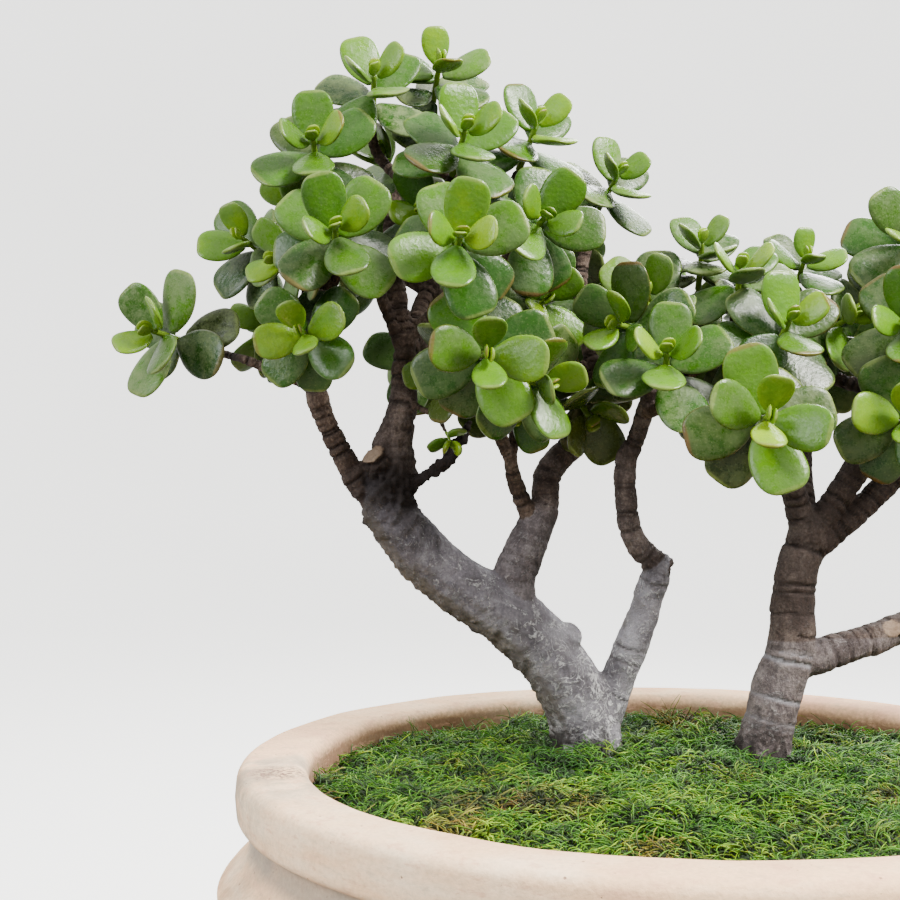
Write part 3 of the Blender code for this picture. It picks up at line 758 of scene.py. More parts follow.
# Each limb: the stem it belongs to and its (x, y, height above the rim, radius) in millimetres.
LIMBS = {
    "left_trunk": ("left", [(-43, 65, -6, 20.4), (-50, 64, 21, 19.5), (-66, 62, 45, 18.6),
                            (-87, 59, 67, 17.9), (-112, 55, 82, 16.9), (-136, 50, 101, 16.0),
                            (-149, 46, 117, 15.6), (-156, 44, 131, 14.8), (-158, 43, 143, 12.6)]),
    "left_knob": ("left", [(-56, 62, 52, 9.0), (-51, 57, 58, 7.0)]),
    "left_limb": ("left", [(-160, 43, 130, 8.6), (-172, 41, 144, 7.5), (-179, 39, 155, 6.9),
                           (-186, 36, 169, 6.1), (-191, 33, 181, 6.0), (-194, 31, 192, 6.2),
                           (-195, 30, 207, 5.7), (-194, 30, 223, 5.2), (-197, 30, 240, 4.7),
                           (-201, 28, 256, 4.2)]),
    "far_left_limb": ("left", [(-194, 31, 194, 3.9), (-203, 30, 198, 3.4), (-212, 28, 202, 3.2),
                               (-223, 25, 206, 3.0), (-233, 22, 210, 2.9)]),
    "middle_limb": ("left", [(-153, 44, 136, 12.4), (-152, 45, 152, 12.2), (-152, 45, 163, 11.6),
                             (-149, 46, 177, 9.5), (-147, 46, 190, 8.1), (-147, 47, 205, 7.0),
                             (-146, 48, 222, 6.7), (-150, 50, 239, 6.4), (-152, 52, 259, 5.9),
                             (-154, 54, 279, 5.3), (-152, 56, 299, 4.9), (-142, 57, 310, 4.6),
                             (-131, 56, 322, 4.2), (-121, 50, 331, 3.8)]),
    "middle_left_fork": ("left", [(-147, 47, 214, 4.2), (-154, 44, 232, 3.7), (-159, 40, 245, 3.6),
                                  (-163, 33, 260, 3.3)]),
    "middle_right_fork": ("left", [(-146, 48, 220, 4.2), (-136, 48, 232, 3.7), (-127, 45, 239, 3.5),
                                   (-117, 36, 246, 3.3), (-111, 20, 254, 3.1)]),
    "back_limb": ("left", [(-147, 47, 196, 6.4), (-143, 70, 225, 5.8), (-134, 98, 255, 5.2),
                           (-120, 120, 284, 4.4)]),
    "cut_stub": ("left", [(-154, 43, 139, 8.4), (-160, 38, 151, 7.4), (-164, 34, 158, 7.0)]),
    "dead_twig": ("left", [(-147, 42, 136, 4.6), (-138, 39, 144, 3.9), (-128, 37, 150, 3.6),
                           (-122, 36, 156, 3.3), (-118, 35, 163, 3.3), (-114, 34, 169, 3.0),
                           (-110, 33, 177, 2.2)]),
    "green_sprout": ("left", [(-144, 45, 189, 2.4), (-138, 38, 184, 2.0), (-130, 34, 180, 1.9),
                              (-124, 33, 177, 1.9)]),
    "second_limb": ("left", [(-85, 58, 74, 13.4), (-85, 60, 88, 12.4), (-80, 63, 100, 12.2),
                             (-75, 66, 112, 11.5), (-69, 68, 122, 9.6), (-66, 70, 131, 8.0),
                             (-66, 72, 139, 8.0), (-64, 74, 148, 8.4), (-58, 76, 156, 8.2),
                             (-50, 79, 163, 7.6), (-40, 82, 174, 6.7), (-36, 85, 190, 5.8),
                             (-37, 90, 210, 5.3), (-42, 98, 238, 4.8), (-43, 106, 264, 4.4),
                             (-38, 111, 288, 4.0)]),
    "second_stub": ("left", [(-73, 67, 113, 6.6), (-77, 64, 125, 5.3), (-81, 61, 134, 5.1),
                             (-85, 57, 144, 4.8), (-87, 50, 154, 4.2)]),
    "right_prong": ("left", [(-37, 66, 0, 11.8), (-27, 65, 25, 10.2), (-20, 63, 44, 9.7),
                             (-13, 61, 63, 8.9), (-9, 60, 76, 8.6), (-5, 58, 88, 8.6),
                             (-2, 57, 95, 7.4)]),
    "kinked_limb": ("left", [(3, 57, 93, 6.0), (-6, 57, 98, 7.2), (-15, 56, 107, 7.1),
                             (-20, 55, 118, 6.8), (-22, 54, 132, 6.5), (-23, 53, 145, 6.5),
                             (-22, 52, 156, 6.2), (-17, 48, 167, 5.6), (-13, 42, 182, 5.0),
                             (-10, 32, 196, 4.4)]),
    "right_trunk": ("right", [(54, 48, -8, 16.2), (58, 48, 11, 15.0), (63, 48, 28, 14.6),
                              (67, 48, 43, 14.2), (70, 48, 60, 13.0), (71, 48, 77, 12.6),
                              (73, 48, 94, 12.3), (77, 48, 108, 11.7), (79, 47, 122, 9.8)]),
    "front_limb": ("right", [(78, 47, 112, 9.0), (72, 45, 131, 7.9), (66, 40, 145, 7.0),
                             (60, 30, 158, 5.8), (54, 14, 168, 4.6)]),
    "upright_limb": ("right", [(80, 48, 113, 8.6), (95, 50, 133, 7.8), (106, 52, 148, 7.9),
                               (113, 54, 162, 7.8), (121, 57, 178, 7.2), (127, 60, 193, 6.8),
                               (134, 62, 212, 6.2), (138, 62, 232, 5.6), (137, 61, 252, 4.8)]),
    "side_limb": ("right", [(77, 49, 103, 9.6), (95, 52, 115, 7.7), (107, 55, 124, 7.6),
                            (118, 58, 134, 7.6), (131, 62, 145, 7.4), (148, 68, 158, 6.8),
                            (164, 72, 175, 6.1), (172, 74, 195, 5.0)]),
    "low_limb": ("right", [(68, 48, 40, 9.8), (87, 52, 45, 9.8), (102, 57, 49, 9.6),
                           (118, 62, 53, 9.4), (131, 66, 57, 9.3), (148, 72, 63, 8.4),
                           (167, 78, 73, 7.2), (184, 80, 91, 5.4)]),
    "behind_limb": ("right", [(79, 50, 112, 8.0), (82, 74, 140, 6.8), (88, 98, 168, 5.8),
                              (92, 114, 196, 4.6)]),
}
TRUNKS = {"left": "left_trunk", "right": "right_trunk"}

# Each shoot: name, limb, tip (x, y, height above the rim), azimuth (0 to the front, 90 to +X),
# elevation, roll of the first pair, size and pairs of leaves. The first pair is the youngest.
SHOOTS = (
    ("front_centre", "middle_right_fork", (-116, -50, 266), 5, 12, 175, 1.0, 5),
    ("front_right", "front_limb", (34, -60, 177), 0, 8, 80, 1.05, 5),
    ("front_left", "middle_left_fork", (-179, -30, 273), 5, 15, 25, 1.0, 5),
    ("low_centre", "second_stub", (-102, -35, 209), 5, -2, 90, 1.05, 5),
    ("far_left", "far_left_limb", (-282, 20, 225), -35, 10, 45, 1.0, 5),
    ("centre_right", "middle_right_fork", (-71, 0, 283), 15, 12, -30, 1.0, 5),
    ("crown_middle", "middle_limb", (-113, -5, 328), 15, 35, 10, 1.0, 5),
    ("right_centre", "kinked_limb", (-9, -15, 211), -5, 35, 0, 1.0, 5),
    ("right_front", "front_limb", (58, 0, 229), 10, 35, 10, 1.0, 5),
    ("low_left", "left_limb", (-198, -12, 222), -10, 5, 115, 0.86, 5),
    ("low_centre_right", "second_stub", (-72, -16, 195), 35, -5, 20, 1.0, 5),
    ("upper_left", "left_limb", (-194, 10, 326), 0, 28, 10, 1.0, 5),
    ("left_middle", "left_limb", (-236, 40, 278), -30, 20, 110, 0.92, 5),
    ("crown_left", "middle_limb", (-163, 40, 368), 5, 42, 30, 1.0, 5),
    ("crown_top", "middle_limb", (-127, 64, 380), 12, 42, 100, 1.0, 5),
    ("crown_right", "middle_limb", (-72, 50, 344), 25, 45, 20, 1.0, 5),
    ("behind_centre", "second_limb", (-12, 35, 246), -15, 35, 60, 1.05, 5),
    ("right_upper", "kinked_limb", (22, 60, 278), 0, 60, 30, 0.9, 5),
    ("right_middle", "kinked_limb", (38, 30, 260), 0, 50, 0, 0.95, 5),
    ("edge_low", "side_limb", (122, 10, 178), -10, 8, 90, 1.0, 5),
    ("edge_middle", "upright_limb", (126, 20, 230), -20, 15, 10, 1.05, 5),
    ("edge_high", "upright_limb", (141, 60, 284), -10, 25, 45, 1.05, 5),
    ("left_fold", "left_limb", (-212, 8, 262), -60, 5, 40, 0.9, 4),
    ("far_upper_right", "second_limb", (-19, 116, 327), 30, 40, 10, 0.95, 5),
    ("right_high", "upright_limb", (83, 70, 271), 10, 45, 90, 0.8, 5),
    ("right_heart", "front_limb", (28, 28, 221), -40, 30, 75, 1.0, 4),
    ("right_outer", "upright_limb", (106, 60, 236), 40, 25, 0, 1.0, 4),
    ("centre_heart", "kinked_limb", (-33, 2, 227), -40, 5, 60, 0.95, 4),
    ("crown_left_low", "middle_limb", (-160, 85, 332), -30, 45, 45, 1.0, 4),
    ("centre_back_left", "middle_limb", (-135, 25, 291), -20, 10, 20, 0.95, 4),
    ("olive_left", "middle_right_fork", (-126, 14, 203), -50, -15, 0, 0.95, 4),
    ("dark_centre", "middle_right_fork", (-68, 40, 244), 15, 10, 45, 1.0, 4),
    ("hanging_centre", "second_stub", (-84, 36, 181), -10, -40, 0, 1.0, 4),
    ("hanging_right", "second_limb", (-43, 50, 179), 20, -35, 45, 1.1, 4),
    ("dark_right", "front_limb", (25, 61, 191), -40, 5, 95, 0.95, 4),
    ("right_end", "side_limb", (204, 62, 214), 45, 30, 30, 1.0, 5),
    ("right_end_front", "side_limb", (176, 14, 214), 15, 25, 60, 1.0, 5),
    ("right_top", "upright_limb", (172, 98, 280), 75, 45, 20, 1.0, 5),
    ("right_low_end", "low_limb", (213, 76, 128), 60, 35, 45, 0.95, 5),
    ("right_back", "side_limb", (168, 118, 224), 140, 25, 0, 1.0, 5),
    ("behind_right", "behind_limb", (106, 156, 216), 165, 20, 45, 1.0, 5),
    ("behind_right_top", "behind_limb", (62, 134, 256), 190, 50, 0, 1.0, 5),
    ("back_top", "back_limb", (-108, 152, 316), 165, 50, 30, 1.0, 5),
    ("back_left", "back_limb", (-176, 134, 284), 215, 25, 0, 1.0, 5),
    ("back_middle", "back_limb", (-102, 166, 252), 170, 5, 45, 1.0, 5),
    ("back_low", "back_limb", (-142, 132, 210), 190, -15, 0, 0.95, 4),
    ("back_right", "second_limb", (-44, 156, 286), 150, 25, 20, 1.0, 5),
    ("back_right_low", "second_limb", (-30, 148, 226), 165, 0, 45, 1.0, 5),
    ("back_inner_right", "second_limb", (22, 122, 240), 100, 15, 0, 1.0, 5),
    ("left_behind", "left_limb", (-232, 88, 232), 245, 10, 30, 0.95, 5),
    ("left_behind_top", "left_limb", (-212, 84, 306), 225, 40, 0, 0.95, 4),
    ("sprout", "green_sprout", (-120, 27, 164), 30, -45, 0, 0.42, 2),
)


@dataclass(frozen=True)
class Growth:
    """The plant's own sizes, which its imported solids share."""

    rim: float = field(default_factory=lambda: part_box("pot")[1].z)
    leaf_length: float = 0.0355
    leaf_width: float = 0.0265
    leaf_thickness: float = 0.0042
    leaf_bend: float = math.radians(18.0)
    stalk_side: float = 0.0052
    storey: float = 0.0052
    bare_stalk: float = 0.007
    twig_radius: float = 0.0029
    twig_neck: float = 0.005
    twig_turn: float = 0.035
    gap: float = 0.0003
    root_depth: float = 0.070
    tip_width: float = 0.42
    openings: tuple[float, ...] = (38.0, 60.0, 77.0, 93.0, 109.0)
    shares: tuple[float, ...] = (0.64, 0.86, 1.0, 1.0, 0.92)
    twists: tuple[float, ...] = (0.0, -8.0, 28.0, 24.0, -28.0)

    def planted(self, place: Sequence[float]) -> Vector:
        """A place in millimetres from the middle of the rim, in the frame's metres."""
        return Vector((place[0] * MM, place[1] * MM, self.rim + place[2] * MM))

    def limb(self, name: str) -> np.ndarray:
        """A limb's knots as rows of x, y, z and radius, a trunk's root included.

        Args:
            name: The limb's name.

        Returns:
            The rows.
        """
        rows = [(*self.planted(knot), knot[3] * MM) for knot in LIMBS[name][1]]
        if name in TRUNKS.values():
            x, y, z, radius = rows[0]
            rows[:0] = [(x, y, z - self.root_depth, 0.45 * radius),
                        (x, y, z - 0.3 * self.root_depth, radius)]
        return np.array(rows)


GROWTH = Growth()


class Mood(Enum):
    """How a shoot's leaves have fared, with painted shade on the inner shoots: (added age, dust and
    painted sheen, olive, red margin).
    """

    PLAIN = (0.0, 0.45, 0.0, 0.15)
    BRIGHT = (-0.10, 0.38, 0.0, 0.30)
    # Dusty leaves, greyed partly by a painted sheen.
    DUSTY = (0.08, 1.0, 0.0, 0.12)
    # Inner shoots: older leaves, darkened further as painted shade.
    DARK = (0.30, 0.20, 0.15, 0.10)
    OLIVE = (0.20, 0.25, 0.75, 0.20)


MOODS = {
    Mood.BRIGHT: ("front_centre", "front_left", "low_centre", "crown_middle", "centre_right",
                  "crown_right", "right_front", "front_right", "low_left", "sprout"),
    Mood.DUSTY: ("crown_left", "far_upper_right", "behind_centre", "left_fold", "right_heart",
                 "left_middle", "crown_left_low", "right_outer", "crown_top", "right_middle",
                 "right_upper", "far_left"),
    # Shoots deep in the crown, darkened as painted shade.
    Mood.DARK: ("dark_centre", "hanging_centre", "dark_right", "centre_back_left"),
    Mood.OLIVE: ("olive_left", "hanging_right"),
}


@dataclass(frozen=True)
class Leaf:
    """A leaf on its stalk: it leaves its foot at an opening from the stalk and bends back up."""

    foot: Vector
    axis: Vector
    out: Vector
    opening: float
    length: float
    width: float
    thickness: float

    def laid(self, share: np.ndarray) -> tuple[np.ndarray, np.ndarray, np.ndarray]:
        """Where the midrib is at shares of the length.

        Args:
            share: Shares of the leaf's length.

        Returns:
            The midrib's places, the direction across and the upper side's directions.
        """
        axis, out = np.array(self.axis), np.array(self.out)
        bend = GROWTH.leaf_bend
        start = self.opening + 0.5 * bend
        angle = (start - bend * share)[:, None]
        ahead = (math.sin(start) - np.sin(angle)) / bend
        outward = (np.cos(angle) - math.cos(start)) / bend
        places = np.array(self.foot) + self.length * (axis * ahead + out * outward)
        return places, np.cross(axis, out), axis * np.sin(angle) - out * np.cos(angle)

    def tip_corners(self) -> np.ndarray:
        """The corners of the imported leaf's blunt tip.

        Returns:
            Four places.
        """
        place, across, upper = self.laid(np.array([1.0]))
        half = 0.5 * self.width * GROWTH.tip_width
        return np.vstack([place + across * half * a + upper * 0.5 * self.thickness * b
                          for a in (-1, 1) for b in (-1, 1)])


@dataclass(frozen=True)
class Shoot:
    """One soft green shoot: a stalk with crossed pairs of leaves."""

    name: str
    limb: str
    tip: tuple[int, int, int]
    azimuth: float
    elevation: float
    roll: float
    size: float
    pairs: int

    def directions(self) -> tuple[Vector, Vector, Vector]:
        """Unit vectors to the shoot's side, to its top and out along its stalk.

        Returns:
            The three vectors.
        """
        azimuth, elevation = math.radians(self.azimuth), math.radians(self.elevation)
        axis = Vector((math.cos(elevation) * math.sin(azimuth),
                       -math.cos(elevation) * math.cos(azimuth), math.sin(elevation)))
        side = Vector((math.cos(azimuth), math.sin(azimuth), 0.0))
        return side, axis.cross(side), axis

    @property
    def storey(self) -> float:
        """The stalk's length from one pair of leaves to the next."""
        return GROWTH.storey * max(self.size, 0.6)

    @property
    def foot(self) -> Vector:
        """Where the green stalk meets its twig.

        Returns:
            A place in metres.
        """
        axis = self.directions()[2]
        return GROWTH.planted(self.tip) - axis * (
            self.storey * self.pairs + GROWTH.bare_stalk * self.size)

    def twig(self) -> np.ndarray:
        """The twig that carries the shoot, as rows of x, y, z and radius.

        Returns:
            The rows, from the limb to the stalk.
        """
        axis = self.directions()[2]
        end = self.foot - axis * GROWTH.gap
        neck = end - axis * GROWTH.twig_neck
        limb = GROWTH.limb(self.limb)
        aim = np.array(end - axis * 0.03)
        first = len(limb) // 3
        k = first + int(np.argmin(np.linalg.norm(limb[first:, :3] - aim, axis=1)))
        start, girth = Vector(limb[k, :3]), limb[k, 3]
        turn = neck - axis * min(0.5 * (neck - start).length, GROWTH.twig_turn)
        tip = GROWTH.twig_radius * max(self.size, 0.5)
        thick = min(0.85 * girth, 1.7 * tip)
        rows = []
        for t in np.linspace(0.0, 1.0, 12):
            place = start * (1 - t) ** 2 + turn * 2 * t * (1 - t) + neck * t * t
            rows.append((*place, thick + (tip - thick) * t))
        return np.array(rows + [(*end, tip)])

    def leaf(self, pair: int, side: int, move: tuple[float, float] = (0.0, 0.0),
             scale: float = 1.0) -> Leaf:
        """The leaf on one side of a pair, once it has moved and shrunk as its place asks.

        Args:
            pair: Which pair, the youngest being 0.
            side: 1 or -1.
            move: Degrees that its opening and its heading have turned.
            scale: Its size, as a share of full size.

        Returns:
            The leaf.
        """
        across, up, axis = self.directions()
        turn = math.radians(self.roll + 90 * pair)
        face = (across * math.cos(turn) + up * math.sin(turn)) * side
        height = GROWTH.planted(self.tip) - axis * self.storey * (pair + 0.5)
        swing = math.radians(GROWTH.twists[pair] + move[1])
        out = face * math.cos(swing) + axis.cross(face) * math.sin(swing)
        size = GROWTH.shares[pair] * self.size
        return Leaf(height + face * 0.5 * GROWTH.stalk_side * self.size, axis, out,
                    math.radians(GROWTH.openings[pair] + move[0]),
                    GROWTH.leaf_length * size * scale, GROWTH.leaf_width * size * scale,
                    GROWTH.leaf_thickness * (0.55 + 0.45 * size) * scale)

    def grown_leaf(self, pair: int, side: int, corners: KDTree) -> Leaf:
        """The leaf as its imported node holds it.

        A leaf gives way to what is around it by a few fixed moves, so the move that it made is
        the one whose tip has its corners in the node.

        Args:
            pair: Which pair, the youngest being 0.
            side: 1 or -1.
            corners: The node's points.

        Returns:
            The leaf.
        """
        moves = sorted(
            ((o, t) for o in (0, -10, 10, -20, 20, -32, 32)
             for t in (0, -12, 12, -24, 24, -36, 36)),
            key=lambda move: (abs(move[0]) + abs(move[1]), move))
        for tenths in range(10, 1, -1):
            for move in moves:
                leaf = self.leaf(pair, side, move, tenths / 10)
                if all(corners.find(corner)[2] < 0.0002 for corner in leaf.tip_corners()):
                    return leaf
        raise ValueError(f"no leaf of shoot {self.name} is where its node has pair {pair}")


# ---------------------------------------------------------------------- pieces


@dataclass
class LeafCage:
    """One leaf of unit size, modelled once: Y along it, X across and Z through it."""

    sides: int = 8
    shares: tuple[float, ...] = (0.0, 0.08, 0.18, 0.31, 0.45, 0.60, 0.74, 0.86, 0.945, 0.985)
    widths: tuple[float, ...] = (0.18, 0.34, 0.66, 0.92, 1.08, 1.13, 1.09, 0.93, 0.65, 0.33)
    depths: tuple[float, ...] = (0.95, 0.85, 1.00, 1.22, 1.32, 1.32, 1.24, 1.04, 0.76, 0.42)

    def model(self) -> bpy.types.Object:
        """Draws the cage out of a ring, one station at a time.

        Returns:
            The cage.
        """
        deselect()
        bpy.ops.mesh.primitive_circle_add(
            vertices=self.sides, radius=1.0, fill_type="NGON", rotation=(math.pi / 2, 0.0, 0.0))
        cage = bpy.context.object
        bpy.ops.object.transform_apply(location=True, rotation=True, scale=True)
        bpy.ops.object.mode_set(mode="EDIT")
        bpy.ops.mesh.select_all(action="SELECT")
        width, depth, share = 1.0, 1.0, 0.0
        for k, (next_share, next_width, next_depth) in enumerate(
                zip(self.shares, self.widths, self.depths)):
            if k:
                bpy.ops.mesh.extrude_region_move(
                    TRANSFORM_OT_translate={"value": (0.0, next_share - share, 0.0)})
            bpy.ops.transform.resize(
                value=(next_width / width, 1.0, next_depth / depth),
                center_override=(0.0, next_share, 0.0))
            width, depth, share = next_width, next_depth, next_share
        bpy.ops.mesh.select_all(action="SELECT")
        bpy.ops.mesh.normals_make_consistent(inside=False)
        bpy.ops.object.mode_set(mode="OBJECT")
        cage.name = "leaf_cage"
        points = points_of(cage.data)
        widest = np.interp(points[:, 1], self.shares, self.widths)
        edge = (np.abs(points[:, 0]) > 0.9 * widest) | (points[:, 1] > self.shares[-2] - 0.01)
        give(cage.data, "edge", edge.astype(float))
        give(cage.data, "under", (points[:, 2] < -0.1).astype(float))
        return cage


@dataclass
class Rosette:
    """The fine form of one shoot: round stalk, and every leaf full and rounded."""

    shoot: Shoot
    cage: bpy.types.Object
    skin: bpy.types.Material
    chance: random.Random
    bluntness: float = 0.80
    bud_opening: float = math.radians(9.0)
    bud_share: float = 0.28
    ages: tuple[float, ...] = (0.25, 0.46, 0.64, 0.80, 0.95)
    age_spread: float = 0.24
    cups: tuple[float, float] = (0.02, 0.16)
    twist: float = 0.10

    @property
    def mood(self) -> Mood:
        """How this shoot's leaves have fared."""
        return next((mood for mood, names in MOODS.items() if self.shoot.name in names), Mood.PLAIN)

    def leaf_piece(self, leaf: Leaf, age: float) -> bpy.types.Object:
        """Lays a copy of the cage along a leaf's midrib.

        Args:
            leaf: The leaf.
            age: How old it is, from 0 in the bud to 1.

        Returns:
            The piece.
        """
        piece = self.cage.copy()
        piece.data = self.cage.data.copy()
        bpy.context.scene.collection.objects.link(piece)
        points = points_of(piece.data)
        across = np.sign(points[:, 0]) * np.abs(points[:, 0]) ** self.bluntness
        place, side, upper = leaf.laid(points[:, 1])
        cup = self.chance.uniform(*self.cups) * leaf.width
        lift = 0.5 * leaf.thickness * points[:, 2] + cup * (across ** 2 - 0.35) * points[:, 1] ** 2
        twist = self.chance.uniform(-self.twist, self.twist)
        half = 0.5 * leaf.width * across
        points = (place + side * (half * np.cos(twist))[:, None]
                  + upper * (lift + half * math.sin(twist) * points[:, 1])[:, None])
        move_points(piece.data, points)
        added, dust_and_sheen, olive, red = self.mood.value
        roll = self.chance.random
        give(piece.data, "age", min(1.0, max(0.0, age + added * age + self.age_spread * (roll() - 0.5))))
        give(piece.data, "tint", roll())
        # How much dust and painted sheen greys the leaf.
        give(piece.data, "dusty", dust_and_sheen * (0.3 + 0.9 * roll()) * min(1.0, 0.2 + age))
        give(piece.data, "olive", olive * (0.3 + 0.7 * roll()))
        give(piece.data, "red", float(roll() < red) * (0.5 + 0.5 * roll()))
        return piece

    def stalk_piece(self) -> bpy.types.Object:
        """The green stalk, swollen where each pair leaves it.

        Returns:
            The stalk.
        """
        axis = self.shoot.directions()[2]
        foot, tip = self.shoot.foot, GROWTH.planted(self.shoot.tip)
        height = (tip - foot).length
        rows = []
        for share in np.linspace(0.0, 1.0, 13):
            swell = 0.5 + 0.5 * math.cos(2 * math.pi * (1 - share) * height / self.shoot.storey)
            radius = GROWTH.stalk_side * self.shoot.size * (0.50 - 0.16 * share - 0.05 * swell)
            rows.append((*(foot + axis * height * share), radius))
        stalk = tube("stalk", np.array(rows), 2)
        give(stalk.data, "stalk", 1.0)
        return stalk

    def build(self) -> bpy.types.Object:
        """Builds the shoot and reports it to the frame.

        Returns:
            The rosette.
        """
        node = "shoot_" + self.shoot.name
        corners = points_of(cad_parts[node].data)
        tree = KDTree(len(corners))
        for k, corner in enumerate(corners):
            tree.insert(corner, k)
        tree.balance()
        pieces = [self.stalk_piece()]
        for pair in range(self.shoot.pairs):
            for side in (1, -1):
                leaf = self.shoot.grown_leaf(pair, side, tree)
                pieces.append(self.leaf_piece(leaf, self.ages[pair]))
        for side in (1, -1):
            bud = self.shoot.leaf(0, side)
            turned = bud.axis.cross(bud.out)
            pieces.append(self.leaf_piece(
                Leaf(bud.foot + bud.axis * self.shoot.storey * 0.5 - bud.out * 0.002, bud.axis,
                     turned, self.bud_opening, bud.length * self.bud_share / GROWTH.shares[0],
                     bud.width * self.bud_share / GROWTH.shares[0], bud.thickness * 0.6), 0.0))
        rosette = joined(pieces, "rosette_" + self.shoot.name)
        apply_modifier(rosette, "SUBSURF", levels=1, render_levels=1)
        bpy.ops.object.shade_smooth()
        dress(rosette, self.skin)
        stand_for(rosette, "leaf", node)
        return rosette


@dataclass(frozen=True)
class BarkRelief:
    """How high each kind of roughness stands on the bark, in metres."""

    swell: float = 0.0010
    lump: float = 0.00035
    grain: float = 0.00022
    ring: float = 0.00105
    flake: float = 0.0012
    flake_grain: float = 0.0010
    crumble: float = 0.0042
    foot_grain: float = 0.0011


@dataclass
class Stem:
    """The fine form of one woody stem."""

    name: str
    shoots: Sequence[Shoot]
    bark: bpy.types.Material
    slot: str
    crust: float
    pale: float
    # How strong the painted shade is on the stem's upper part.
    shade: float = 0.0
    least_tone: tuple[float, float] = (0.0, 0.0)
    relief: BarkRelief = BarkRelief()
    noise_scales: tuple[float, float, float] = (38.0, 120.0, 330.0)
    step: float = 0.003
    voxel: float = 0.00125
    smooth_rounds: int = 5
    grey_radius: float = 0.0125
    brown_radius: float = 0.0070
    brown_height: float = 0.055
    grey_limbs: tuple[str, ...] = ("right_prong", "left_knob")
    kinked_tone: float = 0.75
    browner: tuple[tuple[str, float], ...] = (("middle_limb", 0.85), ("second_limb", 0.40))
    ring_gap: float = 0.0050
    ring_gaps: tuple[tuple[str, float], ...] = (
        ("right_prong", 0.024), ("kinked_limb", 0.0085), ("right_trunk", 0.0125))
    ring_width: float = 0.0017
    ring_wander: float = 0.0016
    scar_height: float = 0.05
    prong_rings: float = 0.9
    prong_pale: float = 0.55
    dead_twig: float = 0.9
    dead_spot: float = 0.95
    dead_spots: tuple[tuple[tuple[int, int, int], float], ...] = (
        ((-155, 37, 142), 0.020), ((-146, 39, 136), 0.018), ((-5, 57, 97), 0.008))
    foot_top: float = 0.012
    foot_fade: float = 0.016
    pruned: tuple[int, int, int] = (129, 57, 60)
    pruned_radius: float = 0.0055
    stub_radius: float = 0.0066

    def routes(self) -> Iterator[tuple[str, np.ndarray]]:
        """Walks the limbs and twigs of the stem.

        Yields:
            Each one's name, and smooth rows of x, y, z and radius along it.
        """
        for name, (owner, _) in LIMBS.items():
            if owner == self.name:
                yield name, smooth_path(GROWTH.limb(name), self.step)
        for shoot in self.shoots:
            if LIMBS[shoot.limb][0] == self.name:
                yield "twig_" + shoot.name, shoot.twig()

    def mapped(self, points: np.ndarray, routes: Sequence[tuple[str, np.ndarray]]) -> dict:
        """Finds which limb each point lies on.

        Args:
            points: The points of the stem's surface.
            routes: The stem's limbs.

        Returns:
            For each point: how far it is along its limb, the limb's radius and the limb's number.
        """
        best = np.full(len(points), np.inf)
        found = {key: np.zeros(len(points)) for key in ("along", "radius", "limb")}
        for number, (_, rows) in enumerate(routes):
            along = 0.0
            for a, b in zip(rows[:-1], rows[1:]):
                chord = b[:3] - a[:3]
                length = float(np.linalg.norm(chord))
                t = np.clip((points - a[:3]) @ chord / length ** 2, 0.0, 1.0)
                radius = a[3] + (b[3] - a[3]) * t
                off = np.linalg.norm(points - a[:3] - t[:, None] * chord, axis=1) - radius
                near = off < best
                best[near] = off[near]
                found["along"][near] = along + t[near] * length
                found["radius"][near] = radius[near]
                found["limb"][near] = number
                along += length
        return found

    def rings(self, kind: np.ndarray, along: np.ndarray, wander: np.ndarray) -> np.ndarray:
        """How deep in a leaf-scar ring each point lies, from 0 to 1.

        Args:
            kind: The name of each point's limb.
            along: How far each point is along its limb.
            wander: Noise that bends the rings.

        Returns:
            A number for each point.
        """
        gap = np.full(len(along), self.ring_gap)
        for name, own in self.ring_gaps:
            gap[kind == name] = own
        turn = (along + self.ring_wander * wander) / gap
        uneven = 0.22 * np.sin(2.3 * np.floor(turn))
        off = np.abs((turn + uneven) % 1.0 - 0.5) * 2.0
        width = np.minimum(0.5, self.ring_width / gap * 2.0)
        depth = 0.75 + 0.35 * np.sin(5.1 * np.floor(turn) + 3.0 * wander)
        return np.clip((off - 1.0 + width) / width, 0.0, 1.0) ** 1.3 * depth

    def toned(self, points: np.ndarray, kind: np.ndarray, girth: np.ndarray) -> np.ndarray:
        """How brown each point is, from 0 on thick grey wood to 1 on thin brown wood.

        Args:
            points: The points of the stem's surface.
            kind: The name of each point's limb.
            girth: The radius of each point's limb.

        Returns:
            A number for each point.
        """
        span = self.grey_radius - self.brown_radius
        tone = np.clip((self.grey_radius - girth) / span, 0.0, 1.0)
        tone[np.isin(kind, self.grey_limbs)] = 0.0
        tone[kind == "kinked_limb"] = self.kinked_tone
        for name, least in self.browner:
            tone[kind == name] = np.maximum(tone[kind == name], least)
        low, high = self.least_tone
        return np.maximum(tone, np.where(points[:, 2] > GROWTH.rim + self.brown_height, high, low))

    def died_back(self, points: np.ndarray, kind: np.ndarray) -> np.ndarray:
        """How black and crumbly each point is: the dead twig and the joints that died back.

        Args:
            points: The points of the stem's surface.
            kind: The name of each point's limb.

        Returns:
            A number for each point.
        """
        dead = self.dead_twig * (kind == "dead_twig")
        for place, size in self.dead_spots:
            off = np.linalg.norm(points - np.array(GROWTH.planted(place)), axis=1)
            dead = np.maximum(dead, self.dead_spot * np.exp(-(off / size) ** 2))
        return dead

